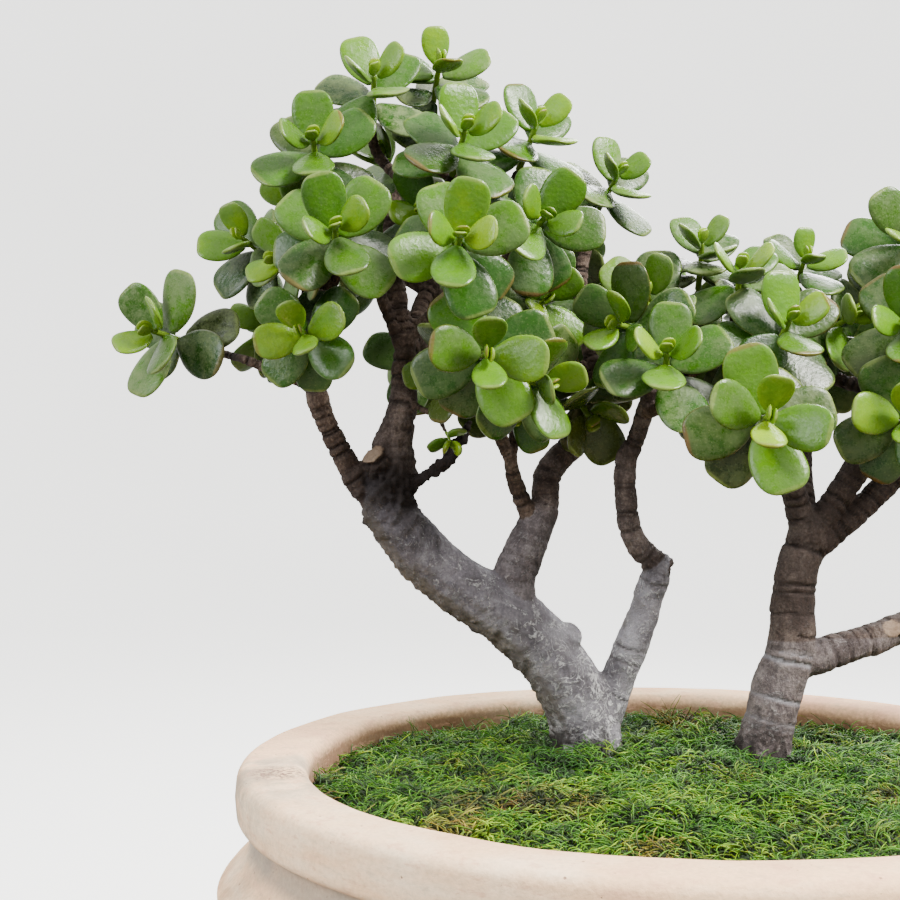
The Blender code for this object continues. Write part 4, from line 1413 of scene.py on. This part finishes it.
    def roughened(self, stem: bpy.types.Object, routes: Sequence[tuple[str, np.ndarray]]) -> None:
        """Raises bark on the smooth stem: rings, lumps, flakes, the dead twig and pruned ends.

        Args:
            stem: The smooth stem.
            routes: The stem's limbs.
        """
        mesh = stem.data
        points, normals = points_of(mesh), normals_of(mesh)
        found = self.mapped(points, routes)
        girth = found["radius"]
        kind = np.array([name for name, _ in routes])[found["limb"].astype(int)]
        tone, dead = self.toned(points, kind, girth), self.died_back(points, kind)
        over_rim = points[:, 2] - GROWTH.rim
        low = np.clip((self.foot_top - over_rim) / self.foot_fade, 0.0, 1.0)
        broad, lumpy, tight = (
            np.array([noise.fractal(Vector(p) * scale, 1.0, 2.0, 3) for p in points])
            for scale in self.noise_scales)
        ring = self.rings(kind, found["along"], broad)
        flaky = np.clip(-normals[:, 0] * 0.8 - normals[:, 2] * 0.9 - 0.35 + 0.35 * lumpy, 0.0, 1.0)
        flaky *= (1 - tone) * (girth > self.brown_radius)
        slender = np.clip(girth / 0.006, 0.35, 1.0)
        wrinkled = np.maximum(tone, 0.25)
        relief = self.relief
        height = (relief.swell * broad * np.clip(girth / 0.010, 0.3, 1.5)
                  + (relief.lump * lumpy + relief.grain * tight) * slender
                  - relief.ring * ring * wrinkled * slender
                  + relief.flake * flaky * np.clip(lumpy + broad, 0.0, 0.8)
                  + relief.flake_grain * flaky * tight
                  + relief.crumble * dead * (lumpy + 0.6 * tight) * slender
                  + relief.foot_grain * low * tight)
        cut = self.cut_ends(points, normals)
        height *= 1 - cut
        move_points(mesh, points + normals * height[:, None])
        prong = kind == "right_prong"
        spread = np.clip((0.100 - over_rim) / 0.090, 0.0, 1.0)
        # Painted shade: the stem darkens above 50 mm over the rim, by the shade share.
        shaded = self.shade * np.clip((over_rim - 0.050) / 0.020, 0.0, 1.0)
        give(mesh, "ring", ring * np.maximum(tone, self.prong_rings * prong) * (1 - cut))
        give(mesh, "tone", tone)
        give(mesh, "flaky", flaky)
        give(mesh, "crust", spread * self.crust)
        give(mesh, "pale", np.where(prong, self.prong_pale, spread * self.pale))
        give(mesh, "scar", ring * (kind == "right_trunk") * (over_rim < self.scar_height))
        give(mesh, "dark", np.maximum(np.maximum(dead, shaded), 0.7 * low * (lumpy > -0.1)))
        give(mesh, "cut", cut)

    def cut_ends(self, points: np.ndarray, normals: np.ndarray) -> np.ndarray:
        """Marks the pruned faces, where bare wood shows.

        Args:
            points: The points of the stem's surface.
            normals: The outward direction at each.

        Returns:
            How bare each point is.
        """
        cut = np.zeros(len(points))
        stub = GROWTH.limb("cut_stub")
        scars = [(stub[-1, :3], stub[-1, :3] - stub[-2, :3], self.stub_radius),
                 (np.array(GROWTH.planted(self.pruned)), np.array((0.0, -1.0, 0.1)), self.pruned_radius)]
        for middle, way, radius in scars:
            way = way / np.linalg.norm(way)
            near = np.linalg.norm(points - middle, axis=1) < radius
            cut[near & (normals @ way > 0.55)] = 0.85
        return cut

    def build(self) -> bpy.types.Object:
        """Builds the stem and reports it to the frame.

        Returns:
            The stem.
        """
        routes = list(self.routes())
        limbs = [tube(name, rows) for name, rows in routes]
        stem = joined(limbs, "stem_" + self.name + "_bark")
        apply_modifier(stem, "REMESH", mode="VOXEL", voxel_size=self.voxel)
        apply_modifier(stem, "SMOOTH", factor=0.5, iterations=self.smooth_rounds)
        self.roughened(stem, routes)
        only(stem)
        bpy.ops.object.shade_smooth()
        dress(stem, self.bark)
        stand_for(stem, self.slot, "stem_" + self.name)
        return stem


@dataclass
class Bowl:
    """The clay pot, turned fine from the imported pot's own sizes."""

    clay: ClayFinish
    mouth: float = MOUTH_RADIUS
    rim_wall: float = 0.036
    rim_depth: float = 0.027
    inner_lip: float = 0.008
    outer_lip: float = 0.007
    under_lip: float = 0.005
    groove_depth: float = 0.009
    groove_width: float = 0.013
    shoulder: float = 0.240
    shoulder_drop: float = 0.075
    wall: float = 0.024
    foot: float = 0.165
    floor: float = 0.022
    drains: int = 3
    drain_radius: float = 0.008
    drain_circle: float = 0.045
    steps: int = 160
    uneven: float = 0.0007
    uneven_scale: float = 14.0
    scuff: tuple[float, float] = (-0.205, -0.045)

    def arc(self, middle: tuple[float, float], radius: float, start: float, end: float,
            count: int = 6) -> list[tuple[float, float]]:
        """Points on an arc of the profile.

        Args:
            middle: The arc's centre, as radius and height.
            radius: The arc's own radius.
            start: Where it starts, in degrees from outwards to up.
            end: Where it ends.
            count: How many points it has.

        Returns:
            The points, as radius and height.
        """
        return [(middle[0] + radius * math.cos(a), middle[1] + radius * math.sin(a))
                for a in np.radians(np.linspace(start, end, count))]

    def profile(self) -> list[tuple[float, float]]:
        """The section from the middle of the floor, up the inside and down the outside.

        Returns:
            Its points, as radius and height.
        """
        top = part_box("pot")[1].z
        rim = self.mouth + self.rim_wall
        neck, shoulder = top - self.rim_depth - self.groove_width, top - self.shoulder_drop
        inner, outer, under = self.inner_lip, self.outer_lip, self.under_lip
        inside = [(0.0, self.floor), (0.5 * self.foot, self.floor),
                  *self.arc((self.foot - self.wall - 0.01, self.floor + 0.01), 0.01, -90, -20, 4),
                  (self.shoulder - self.wall, shoulder), (self.mouth + 0.006, neck - 0.004),
                  (self.mouth, neck + 0.006)]
        band = [*self.arc((self.mouth + inner, top - inner), inner, 180, 100, 8),
                (self.mouth + 0.5 * self.rim_wall, top),
                *self.arc((rim - outer, top - outer), outer, 80, 0, 8),
                (rim + 0.0006, top - 0.5 * self.rim_depth),
                *self.arc((rim - under, top - self.rim_depth + under), under, 0, -80, 6)]
        groove = rim - self.groove_depth
        hollow = 0.35 * self.groove_width
        waist = [*self.arc((groove + hollow, top - self.rim_depth - hollow), hollow, 100, 180, 5),
                 (groove + 0.0006, neck + 0.3 * self.groove_width)]
        knots = np.array([(groove + 0.001, neck + 0.002, 0.0), (groove + 0.006, neck - 0.008, 0.0),
                          (self.shoulder - 0.0025, 0.5 * (neck + shoulder), 0.0),
                          (self.shoulder, shoulder, 0.0),
                          (self.shoulder - 0.024, 0.62 * shoulder, 0.0),
                          (self.foot + 0.026, 0.3 * shoulder, 0.0),
                          (self.foot + 0.003, 0.004, 0.0)])
        body = [(row[0], row[1]) for row in smooth_path(knots, 0.009)]
        return inside + band + waist + body + [(self.foot, 0.0), (0.5 * self.foot, 0.0), (0.0, 0.0)]

    def build(self) -> bpy.types.Object:
        """Spins the profile, drills the drainage holes and roughens the clay.

        Returns:
            The pot.
        """
        profile = self.profile()
        mesh = bpy.data.meshes.new("clay_pot")
        mesh.from_pydata([(r, 0.0, z) for r, z in profile],
                         [(k, k + 1) for k in range(len(profile) - 1)], [])
        pot = bpy.data.objects.new("clay_pot", mesh)
        bpy.context.scene.collection.objects.link(pot)
        only(pot)
        bpy.ops.object.mode_set(mode="EDIT")
        bpy.ops.mesh.select_all(action="SELECT")
        bpy.ops.mesh.spin(steps=self.steps, angle=2 * math.pi, center=(0.0, 0.0, 0.0),
                          axis=(0.0, 0.0, 1.0))
        bpy.ops.mesh.select_all(action="SELECT")
        bpy.ops.mesh.remove_doubles(threshold=0.00005)
        bpy.ops.mesh.normals_make_consistent(inside=False)
        bpy.ops.object.mode_set(mode="OBJECT")
        for k in range(self.drains):
            self.drill(pot, math.radians(90 + 360 * k / self.drains))
        points = points_of(mesh)
        hump = np.array([noise.fractal(Vector(p) * self.uneven_scale, 1.0, 2.0, 3) for p in points])
        above = points[:, 2] > self.floor
        move_points(mesh, points + normals_of(mesh) * (self.uneven * hump * above)[:, None])
        only(pot)
        bpy.ops.object.shade_smooth_by_angle(angle=math.radians(40))
        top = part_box("pot")[1].z
        dress(pot, self.clay.material(self.mouth, top, Vector((*self.scuff, top - 0.001))))
        stand_for(pot, "clay", "pot")
        return pot

    def drill(self, pot: bpy.types.Object, turn: float) -> None:
        """Cuts one drainage hole through the floor.

        Args:
            pot: The pot.
            turn: Where the hole is round the floor, in radians.
        """
        deselect()
        place = (self.drain_circle * math.cos(turn), self.drain_circle * math.sin(turn), 0.0)
        bpy.ops.mesh.primitive_cylinder_add(
            vertices=32, radius=self.drain_radius, depth=3 * self.floor, location=place)
        bit = bpy.context.object
        apply_modifier(pot, "BOOLEAN", operation="DIFFERENCE", object=bit)
        bpy.data.objects.remove(bit)


@dataclass(frozen=True)
class Patch:
    """An oval on the moss that fades out from its middle, in metres."""

    x: float
    y: float
    wide: float
    deep: float

    def strength(self, x: np.ndarray, y: np.ndarray) -> np.ndarray:
        """How much of the patch there is at places, 1 in its middle."""
        return np.exp(-(((x - self.x) / self.wide) ** 2 + ((y - self.y) / self.deep) ** 2))


@dataclass
class Moss:
    """The mat of moss: a clumpy bed, and thousands of curled strands rooted in it."""

    skin: bpy.types.Material
    seed: int = 7
    strands: int = 33000
    tufts: int = 7
    joints: int = 5
    sides: int = 3
    thickness: float = 0.00040
    shortest: float = 0.006
    longest: float = 0.019
    lumps: float = 0.0060
    sunk: float = 0.0045
    mouth: float = MOUTH_RADIUS
    edge_drop: float = 0.008
    wall_room: float = 0.0012
    trunks: tuple[tuple[float, float, float], ...] = ((-43, 65, 19.5), (55, 48, 15.5))
    curl: float = 0.34
    pitches: tuple[float, float] = (0.10, 1.00)
    droops: tuple[float, float] = (0.10, 0.45)
    girths: tuple[float, float] = (0.6, 1.5)
    bed_sides: int = 96
    bed_cuts: int = 11
    dry_front: Patch = Patch(-0.128, -0.080, 0.036, 0.040)
    dry_back: Patch = Patch(0.030, 0.150, 0.016, 0.030)
    dry_rim: tuple[float, float] = (0.176, 0.018)
    lush: Patch = Patch(-0.030, -0.110, 0.110, 0.070)
    sprigs: tuple[Patch, ...] = (
        Patch(0.014, 0.132, 0.015, 0.015), Patch(-0.141, 0.117, 0.005, 0.005),
        Patch(-0.106, 0.148, 0.005, 0.005), Patch(0.024, 0.062, 0.008, 0.008),
        Patch(-0.090, 0.060, 0.007, 0.007))
    sprig_share: float = 0.55

    def clumps(self, x: np.ndarray, y: np.ndarray, scale: float, layer: float) -> np.ndarray:
        """Cloudy noise from about -1 to 1 over the mat.

        Args:
            x: Places across.
            y: Places towards the back.
            scale: About how many clouds there are to the metre.
            layer: Which of many unlike sheets of clouds.

        Returns:
            A number for each place.
        """
        return np.array([noise.fractal(Vector((a * scale, b * scale, layer)), 1.0, 2.0, 2)
                         for a, b in zip(x, y)])

    def surface(self, x: np.ndarray, y: np.ndarray) -> np.ndarray:
        """The bed's height at places.

        Args:
            x: Places across.
            y: Places towards the back.

        Returns:
            A height for each place.
        """
        low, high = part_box("moss_mat")
        slope = np.clip((np.hypot(x, y) / self.mouth - 0.45) / 0.55, 0.0, 1.0)
        humps = self.clumps(x, y, 22.0, 0.0) + 0.7 * self.clumps(x, y, 60.0, 2.0)
        return np.maximum(high.z - self.edge_drop * slope + self.lumps * (humps - 0.25),
                          low.z + 0.004)

    def dryness(self, x: np.ndarray, y: np.ndarray, chance: np.random.Generator) -> np.ndarray:
        """How dry the moss is at places: in patches, most of all at the front left.

        Args:
            x: Places across.
            y: Places towards the back.
            chance: Where the scatter is drawn from.

        Returns:
            A number from 0 to 1 for each place.
        """
        patch = self.clumps(x, y, 24.0, 5.0)
        start, fade = self.dry_rim
        rim = np.clip((np.hypot(x, y) - start) / fade, 0.0, 1.0)
        front, back = self.dry_front.strength(x, y), self.dry_back.strength(x, y)
        dry = patch * 1.2 - 0.30 + 0.85 * front + 0.35 * rim + 0.9 * back
        return np.clip(dry + 0.5 * (chance.random(len(x)) - 0.5), 0.0, 1.0)

    def bed(self) -> bpy.types.Object:
        """The clumpy mat under the strands, one closed body.

        Returns:
            The bed.
        """
        low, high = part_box("moss_mat")
        deselect()
        bpy.ops.mesh.primitive_cylinder_add(
            vertices=self.bed_sides, radius=self.mouth - self.wall_room, depth=high.z - low.z,
            location=(0.0, 0.0, 0.5 * (low.z + high.z)), end_fill_type="TRIFAN")
        bed = bpy.context.object
        bpy.ops.object.transform_apply(location=True, rotation=True, scale=True)
        bpy.ops.object.mode_set(mode="EDIT")
        bpy.ops.mesh.select_all(action="SELECT")
        bpy.ops.mesh.subdivide(number_cuts=self.bed_cuts)
        bpy.ops.object.mode_set(mode="OBJECT")
        points = points_of(bed.data)
        upper = points[:, 2] > high.z - 1e-5
        points[upper, 2] = self.surface(points[upper, 0], points[upper, 1]) - self.sunk
        points[~upper, 2] = np.minimum(points[~upper, 2], low.z + 0.003)
        move_points(bed.data, points)
        only(bed)
        bpy.ops.object.shade_smooth()
        bed.name = "moss_bed"
        chance = np.random.default_rng(self.seed)
        give(bed.data, "tint", 0.2)
        # With rise 0 the whole bed takes the strands' painted foot shade.
        give(bed.data, "rise", 0.0)
        give(bed.data, "dry", self.dryness(points[:, 0], points[:, 1], chance))
        dress(bed, self.skin)
        stand_for(bed, "moss", "moss_mat")
        return bed

    def rooted(self, count: int, chance: np.random.Generator) -> np.ndarray:
        """Scatters places over the mat, clear of the trunks.

        Args:
            count: How many places.
            chance: Where they are drawn from.

        Returns:
            Rows of x and y.
        """
        radius = (self.mouth - 0.002) * np.sqrt(chance.random(count))
        turn = 2 * math.pi * chance.random(count)
        places = np.column_stack([radius * np.cos(turn), radius * np.sin(turn)])
        for x, y, girth in self.trunks:
            off = places - np.array([x, y]) * MM
            far = np.linalg.norm(off, axis=1)
            inside = far < girth * MM
            places[inside] += off[inside] * (girth * MM / np.maximum(far[inside], 1e-5) - 1)[:, None]
        return places

    def tuft(self, name: str, count: int, chance: np.random.Generator) -> bpy.types.Object:
        """One share of the strands, as a single mesh of thin three-sided tapering tubes.

        Args:
            name: Its name.
            count: How many strands it has.
            chance: Where they are drawn from.

        Returns:
            The tuft.
        """
        roots = self.rooted(count, chance)
        x, y = roots.T
        length = chance.uniform(self.shortest, self.longest, count) * (
            0.85 + 0.35 * self.clumps(x, y, 40.0, 9.0))
        heading = (2 * math.pi * chance.random(count) * 0.45
                   + 5.0 * self.clumps(x, y, 30.0, 12.0))
        curl = chance.normal(0.0, self.curl, count)
        pitch = chance.uniform(*self.pitches, count)
        droop = chance.uniform(*self.droops, count)
        for sprig in self.sprigs:
            tall = sprig.strength(x, y) * (chance.random(count) < self.sprig_share)
            length, pitch, curl = length * (1 + 0.9 * tall), pitch + 0.6 * tall, curl * (1 + tall)
        spot = np.column_stack([roots, self.surface(x, y) - 0.5 * self.sunk])
        line, ways = [spot], []
        for _ in range(self.joints):
            way = np.column_stack([np.cos(pitch) * np.cos(heading), np.cos(pitch) * np.sin(heading),
                                   np.sin(pitch)])
            ways.append(way)
            spot = spot + way * (length / self.joints)[:, None]
            radius = np.hypot(spot[:, 0], spot[:, 1])
            spot[:, :2] *= np.minimum(1.0, (self.mouth - self.wall_room) / radius)[:, None]
            line.append(spot)
            heading, pitch = heading + curl, pitch - droop
        ways.append(ways[-1])
        girth = self.thickness * chance.uniform(*self.girths, count)
        rings = []
        for k, (spot, way) in enumerate(zip(line, ways)):
            side = np.cross(way, (0.0, 0.0, 1.0)) + (1e-6, 0.0, 0.0)
            side /= np.linalg.norm(side, axis=1)[:, None]
            other = np.cross(way, side)
            taper = (girth * (1.0 - 0.65 * (k / self.joints) ** 2))[:, None]
            for s in range(self.sides):
                turn = 2 * math.pi * s / self.sides
                rings.append(spot + (side * math.cos(turn) + other * math.sin(turn)) * taper)
        points = np.stack(rings, axis=1).reshape(-1, 3)
        mesh = bpy.data.meshes.new(name)
        mesh.from_pydata(points.tolist(), [], self.strand_faces(count))
        tint = np.clip(0.26 + 0.30 * self.lush.strength(x, y) + 0.75 * self.clumps(x, y, 38.0, 20.0)
                       + chance.normal(0.0, 0.20, count), 0.0, 1.0)
        give(mesh, "tint", np.repeat(tint, len(rings)))
        give(mesh, "dry", np.repeat(self.dryness(x, y, chance), len(rings)))
        give(mesh, "rise", np.tile(np.repeat(np.linspace(0.0, 1.0, len(line)), self.sides), count))
        tuft = bpy.data.objects.new(name, mesh)
        bpy.context.scene.collection.objects.link(tuft)
        only(tuft)
        bpy.ops.object.shade_smooth()
        dress(tuft, self.skin)
        stand_for(tuft, "moss", "moss_mat")
        return tuft

    def strand_faces(self, count: int) -> list[list[int]]:
        """The faces of every strand: its sides and its two ends.

        Args:
            count: How many strands there are.

        Returns:
            Each face's points.
        """
        s, n = self.sides, self.joints + 1
        one = [[r * s + k, r * s + (k + 1) % s, (r + 1) * s + (k + 1) % s, (r + 1) * s + k]
               for r in range(n - 1) for k in range(s)]
        ends = [list(range(s))[::-1], list(range((n - 1) * s, n * s))]
        return [[index + strand * s * n for index in face]
                for strand in range(count) for face in one + ends]

    def build(self) -> None:
        """Builds the bed and all the strands."""
        self.bed()
        chance = np.random.default_rng(self.seed + 1)
        for k in range(self.tufts):
            self.tuft(f"moss_strands_{k + 1}", self.strands // self.tufts, chance)


@dataclass(frozen=True)
class Lamp:
    """A square soft light."""

    name: str
    place: tuple[float, float, float]
    size: float
    power: float
    colour: Colour


@dataclass
class Studio:
    """The camera, the pale surroundings and the soft light."""

    camera_place: tuple[float, float, float] = (-0.121, -0.783, 0.1606)
    lens: float = 59.5
    floor_radius: float = 3.2
    curve_radius: float = 1.6
    wall_height: float = 2.6
    facets: int = 96
    aim: tuple[float, float, float] = (-0.05, 0.0, 0.45)
    sky_colour: Colour = (1.0, 0.99, 0.96)
    sky_darkest: float = 0.4725
    sky_brightest: float = 2.025
    sky_back: float = 0.30
    lamps: tuple[Lamp, ...] = (
        Lamp("window", (1.0, -0.6, 1.8), 0.6, 120.0, (1.0, 0.98, 0.94)),
        Lamp("doorway", (-1.6, -1.0, 1.2), 1.0, 36.0, (0.94, 0.97, 1.0)),
        Lamp("behind", (0.7, 1.4, 1.7), 0.9, 60.0, (1.0, 1.0, 1.0)))

    def camera(self) -> None:
        """Adds the camera, level with the crown's middle."""
        data = bpy.data.cameras.new("camera")
        data.lens = self.lens
        data.sensor_width = 36.0
        data.clip_start = 0.01
        camera = bpy.data.objects.new("camera", data)
        x, y, height = self.camera_place
        camera.location = (x, y, GROWTH.rim + height)
        camera.rotation_euler = (math.pi / 2, 0.0, 0.0)
        bpy.context.scene.collection.objects.link(camera)
        bpy.context.scene.camera = camera

    def surroundings(self) -> None:
        """A floor whose edge curves up all round into a wall."""
        deselect()
        bpy.ops.mesh.primitive_circle_add(vertices=self.facets, radius=self.floor_radius,
                                          fill_type="NGON")
        cove = bpy.context.object
        bpy.ops.object.mode_set(mode="EDIT")
        bpy.ops.mesh.select_all(action="SELECT")
        bpy.ops.mesh.region_to_loop()
        turns = np.radians(np.linspace(0.0, 90.0, 13))
        ring = [(self.floor_radius + self.curve_radius * math.sin(t),
                 self.curve_radius * (1 - math.cos(t))) for t in turns]
        ring.append((self.floor_radius + self.curve_radius, self.wall_height))
        for (r0, z0), (r1, z1) in zip(ring[:-1], ring[1:]):
            bpy.ops.mesh.extrude_edges_move(TRANSFORM_OT_translate={"value": (0.0, 0.0, z1 - z0)})
            bpy.ops.transform.resize(value=(r1 / r0, r1 / r0, 1.0), center_override=(0.0, 0.0, z1))
        bpy.ops.mesh.select_all(action="SELECT")
        bpy.ops.mesh.normals_make_consistent(inside=True)
        bpy.ops.object.mode_set(mode="OBJECT")
        bpy.ops.object.shade_smooth()
        cove.name = "cove"
        cove.visible_shadow = False
        cove.visible_glossy = False
        cove.visible_diffuse = False
        dress(cove, WallFinish().material())

    def light(self, lamp: Lamp) -> None:
        """Hangs a lamp so that it faces the crown.

        Args:
            lamp: The lamp.
        """
        data = bpy.data.lights.new(lamp.name, "AREA")
        data.shape = "SQUARE"
        data.size = lamp.size
        data.energy = lamp.power
        data.color = lamp.colour
        thing = bpy.data.objects.new(lamp.name, data)
        thing.location = lamp.place
        ray = Vector(self.aim) - Vector(lamp.place)
        thing.rotation_euler = ray.to_track_quat("-Z", "Y").to_euler()
        bpy.context.scene.collection.objects.link(thing)

    def sky(self) -> None:
        """Light from all round, strongest from above and behind, weakest from the front."""
        world = bpy.data.worlds.new("sky")
        world.use_nodes = True
        tree = world.node_tree
        background = tree.nodes["Background"]
        coordinates = tree.nodes.new("ShaderNodeTexCoord")
        split = tree.nodes.new("ShaderNodeSeparateXYZ")
        tree.links.new(coordinates.outputs["Generated"], split.inputs[0])
        total = tree.nodes.new("ShaderNodeMath")
        total.operation = "MULTIPLY_ADD"
        tree.links.new(split.outputs["Y"], total.inputs[0])
        total.inputs[1].default_value = self.sky_back
        tree.links.new(split.outputs["Z"], total.inputs[2])
        ramp = tree.nodes.new("ShaderNodeMapRange")
        tree.links.new(total.outputs[0], ramp.inputs["Value"])
        for name, value in (("From Min", -0.7), ("From Max", 0.9),
                            ("To Min", self.sky_darkest), ("To Max", self.sky_brightest)):
            ramp.inputs[name].default_value = value
        background.inputs["Color"].default_value = (*self.sky_colour, 1.0)
        tree.links.new(ramp.outputs["Result"], background.inputs["Strength"])
        bpy.context.scene.world = world

    def build(self) -> None:
        """Builds all of it."""
        self.camera()
        self.surroundings()
        self.sky()
        for lamp in self.lamps:
            self.light(lamp)


# ------------------------------------------------------------------------ main


def main() -> None:
    """Builds the plant and its studio in order."""
    logging.basicConfig(level=logging.INFO, format="%(name)s: %(message)s")
    Studio().build()
    Bowl(ClayFinish()).build()
    dress(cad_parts["soil"], SOIL.material())
    broken = CROCK.material()
    for k in range(1, CROCKS + 1):
        dress(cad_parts[f"crock_{k}"], broken)
    Moss(MossFinish().material()).build()
    shoots = [Shoot(*row) for row in SHOOTS]
    bark = BarkFinish().material()
    Stem("left", shoots, bark, "grey_bark", crust=0.75, pale=0.50).build()
    Stem("right", shoots, bark, "brown_bark", crust=0.15, pale=0.10, shade=0.42,
         least_tone=(0.60, 0.90)).build()
    chance = random.Random(LEAF_SEED)
    cage = LeafCage().model()
    skin = LeafFinish().material()
    for shoot in shoots:
        Rosette(shoot, cage, skin, chance).build()
    bpy.data.objects.remove(cage)


if __name__ == "__main__":
    main()
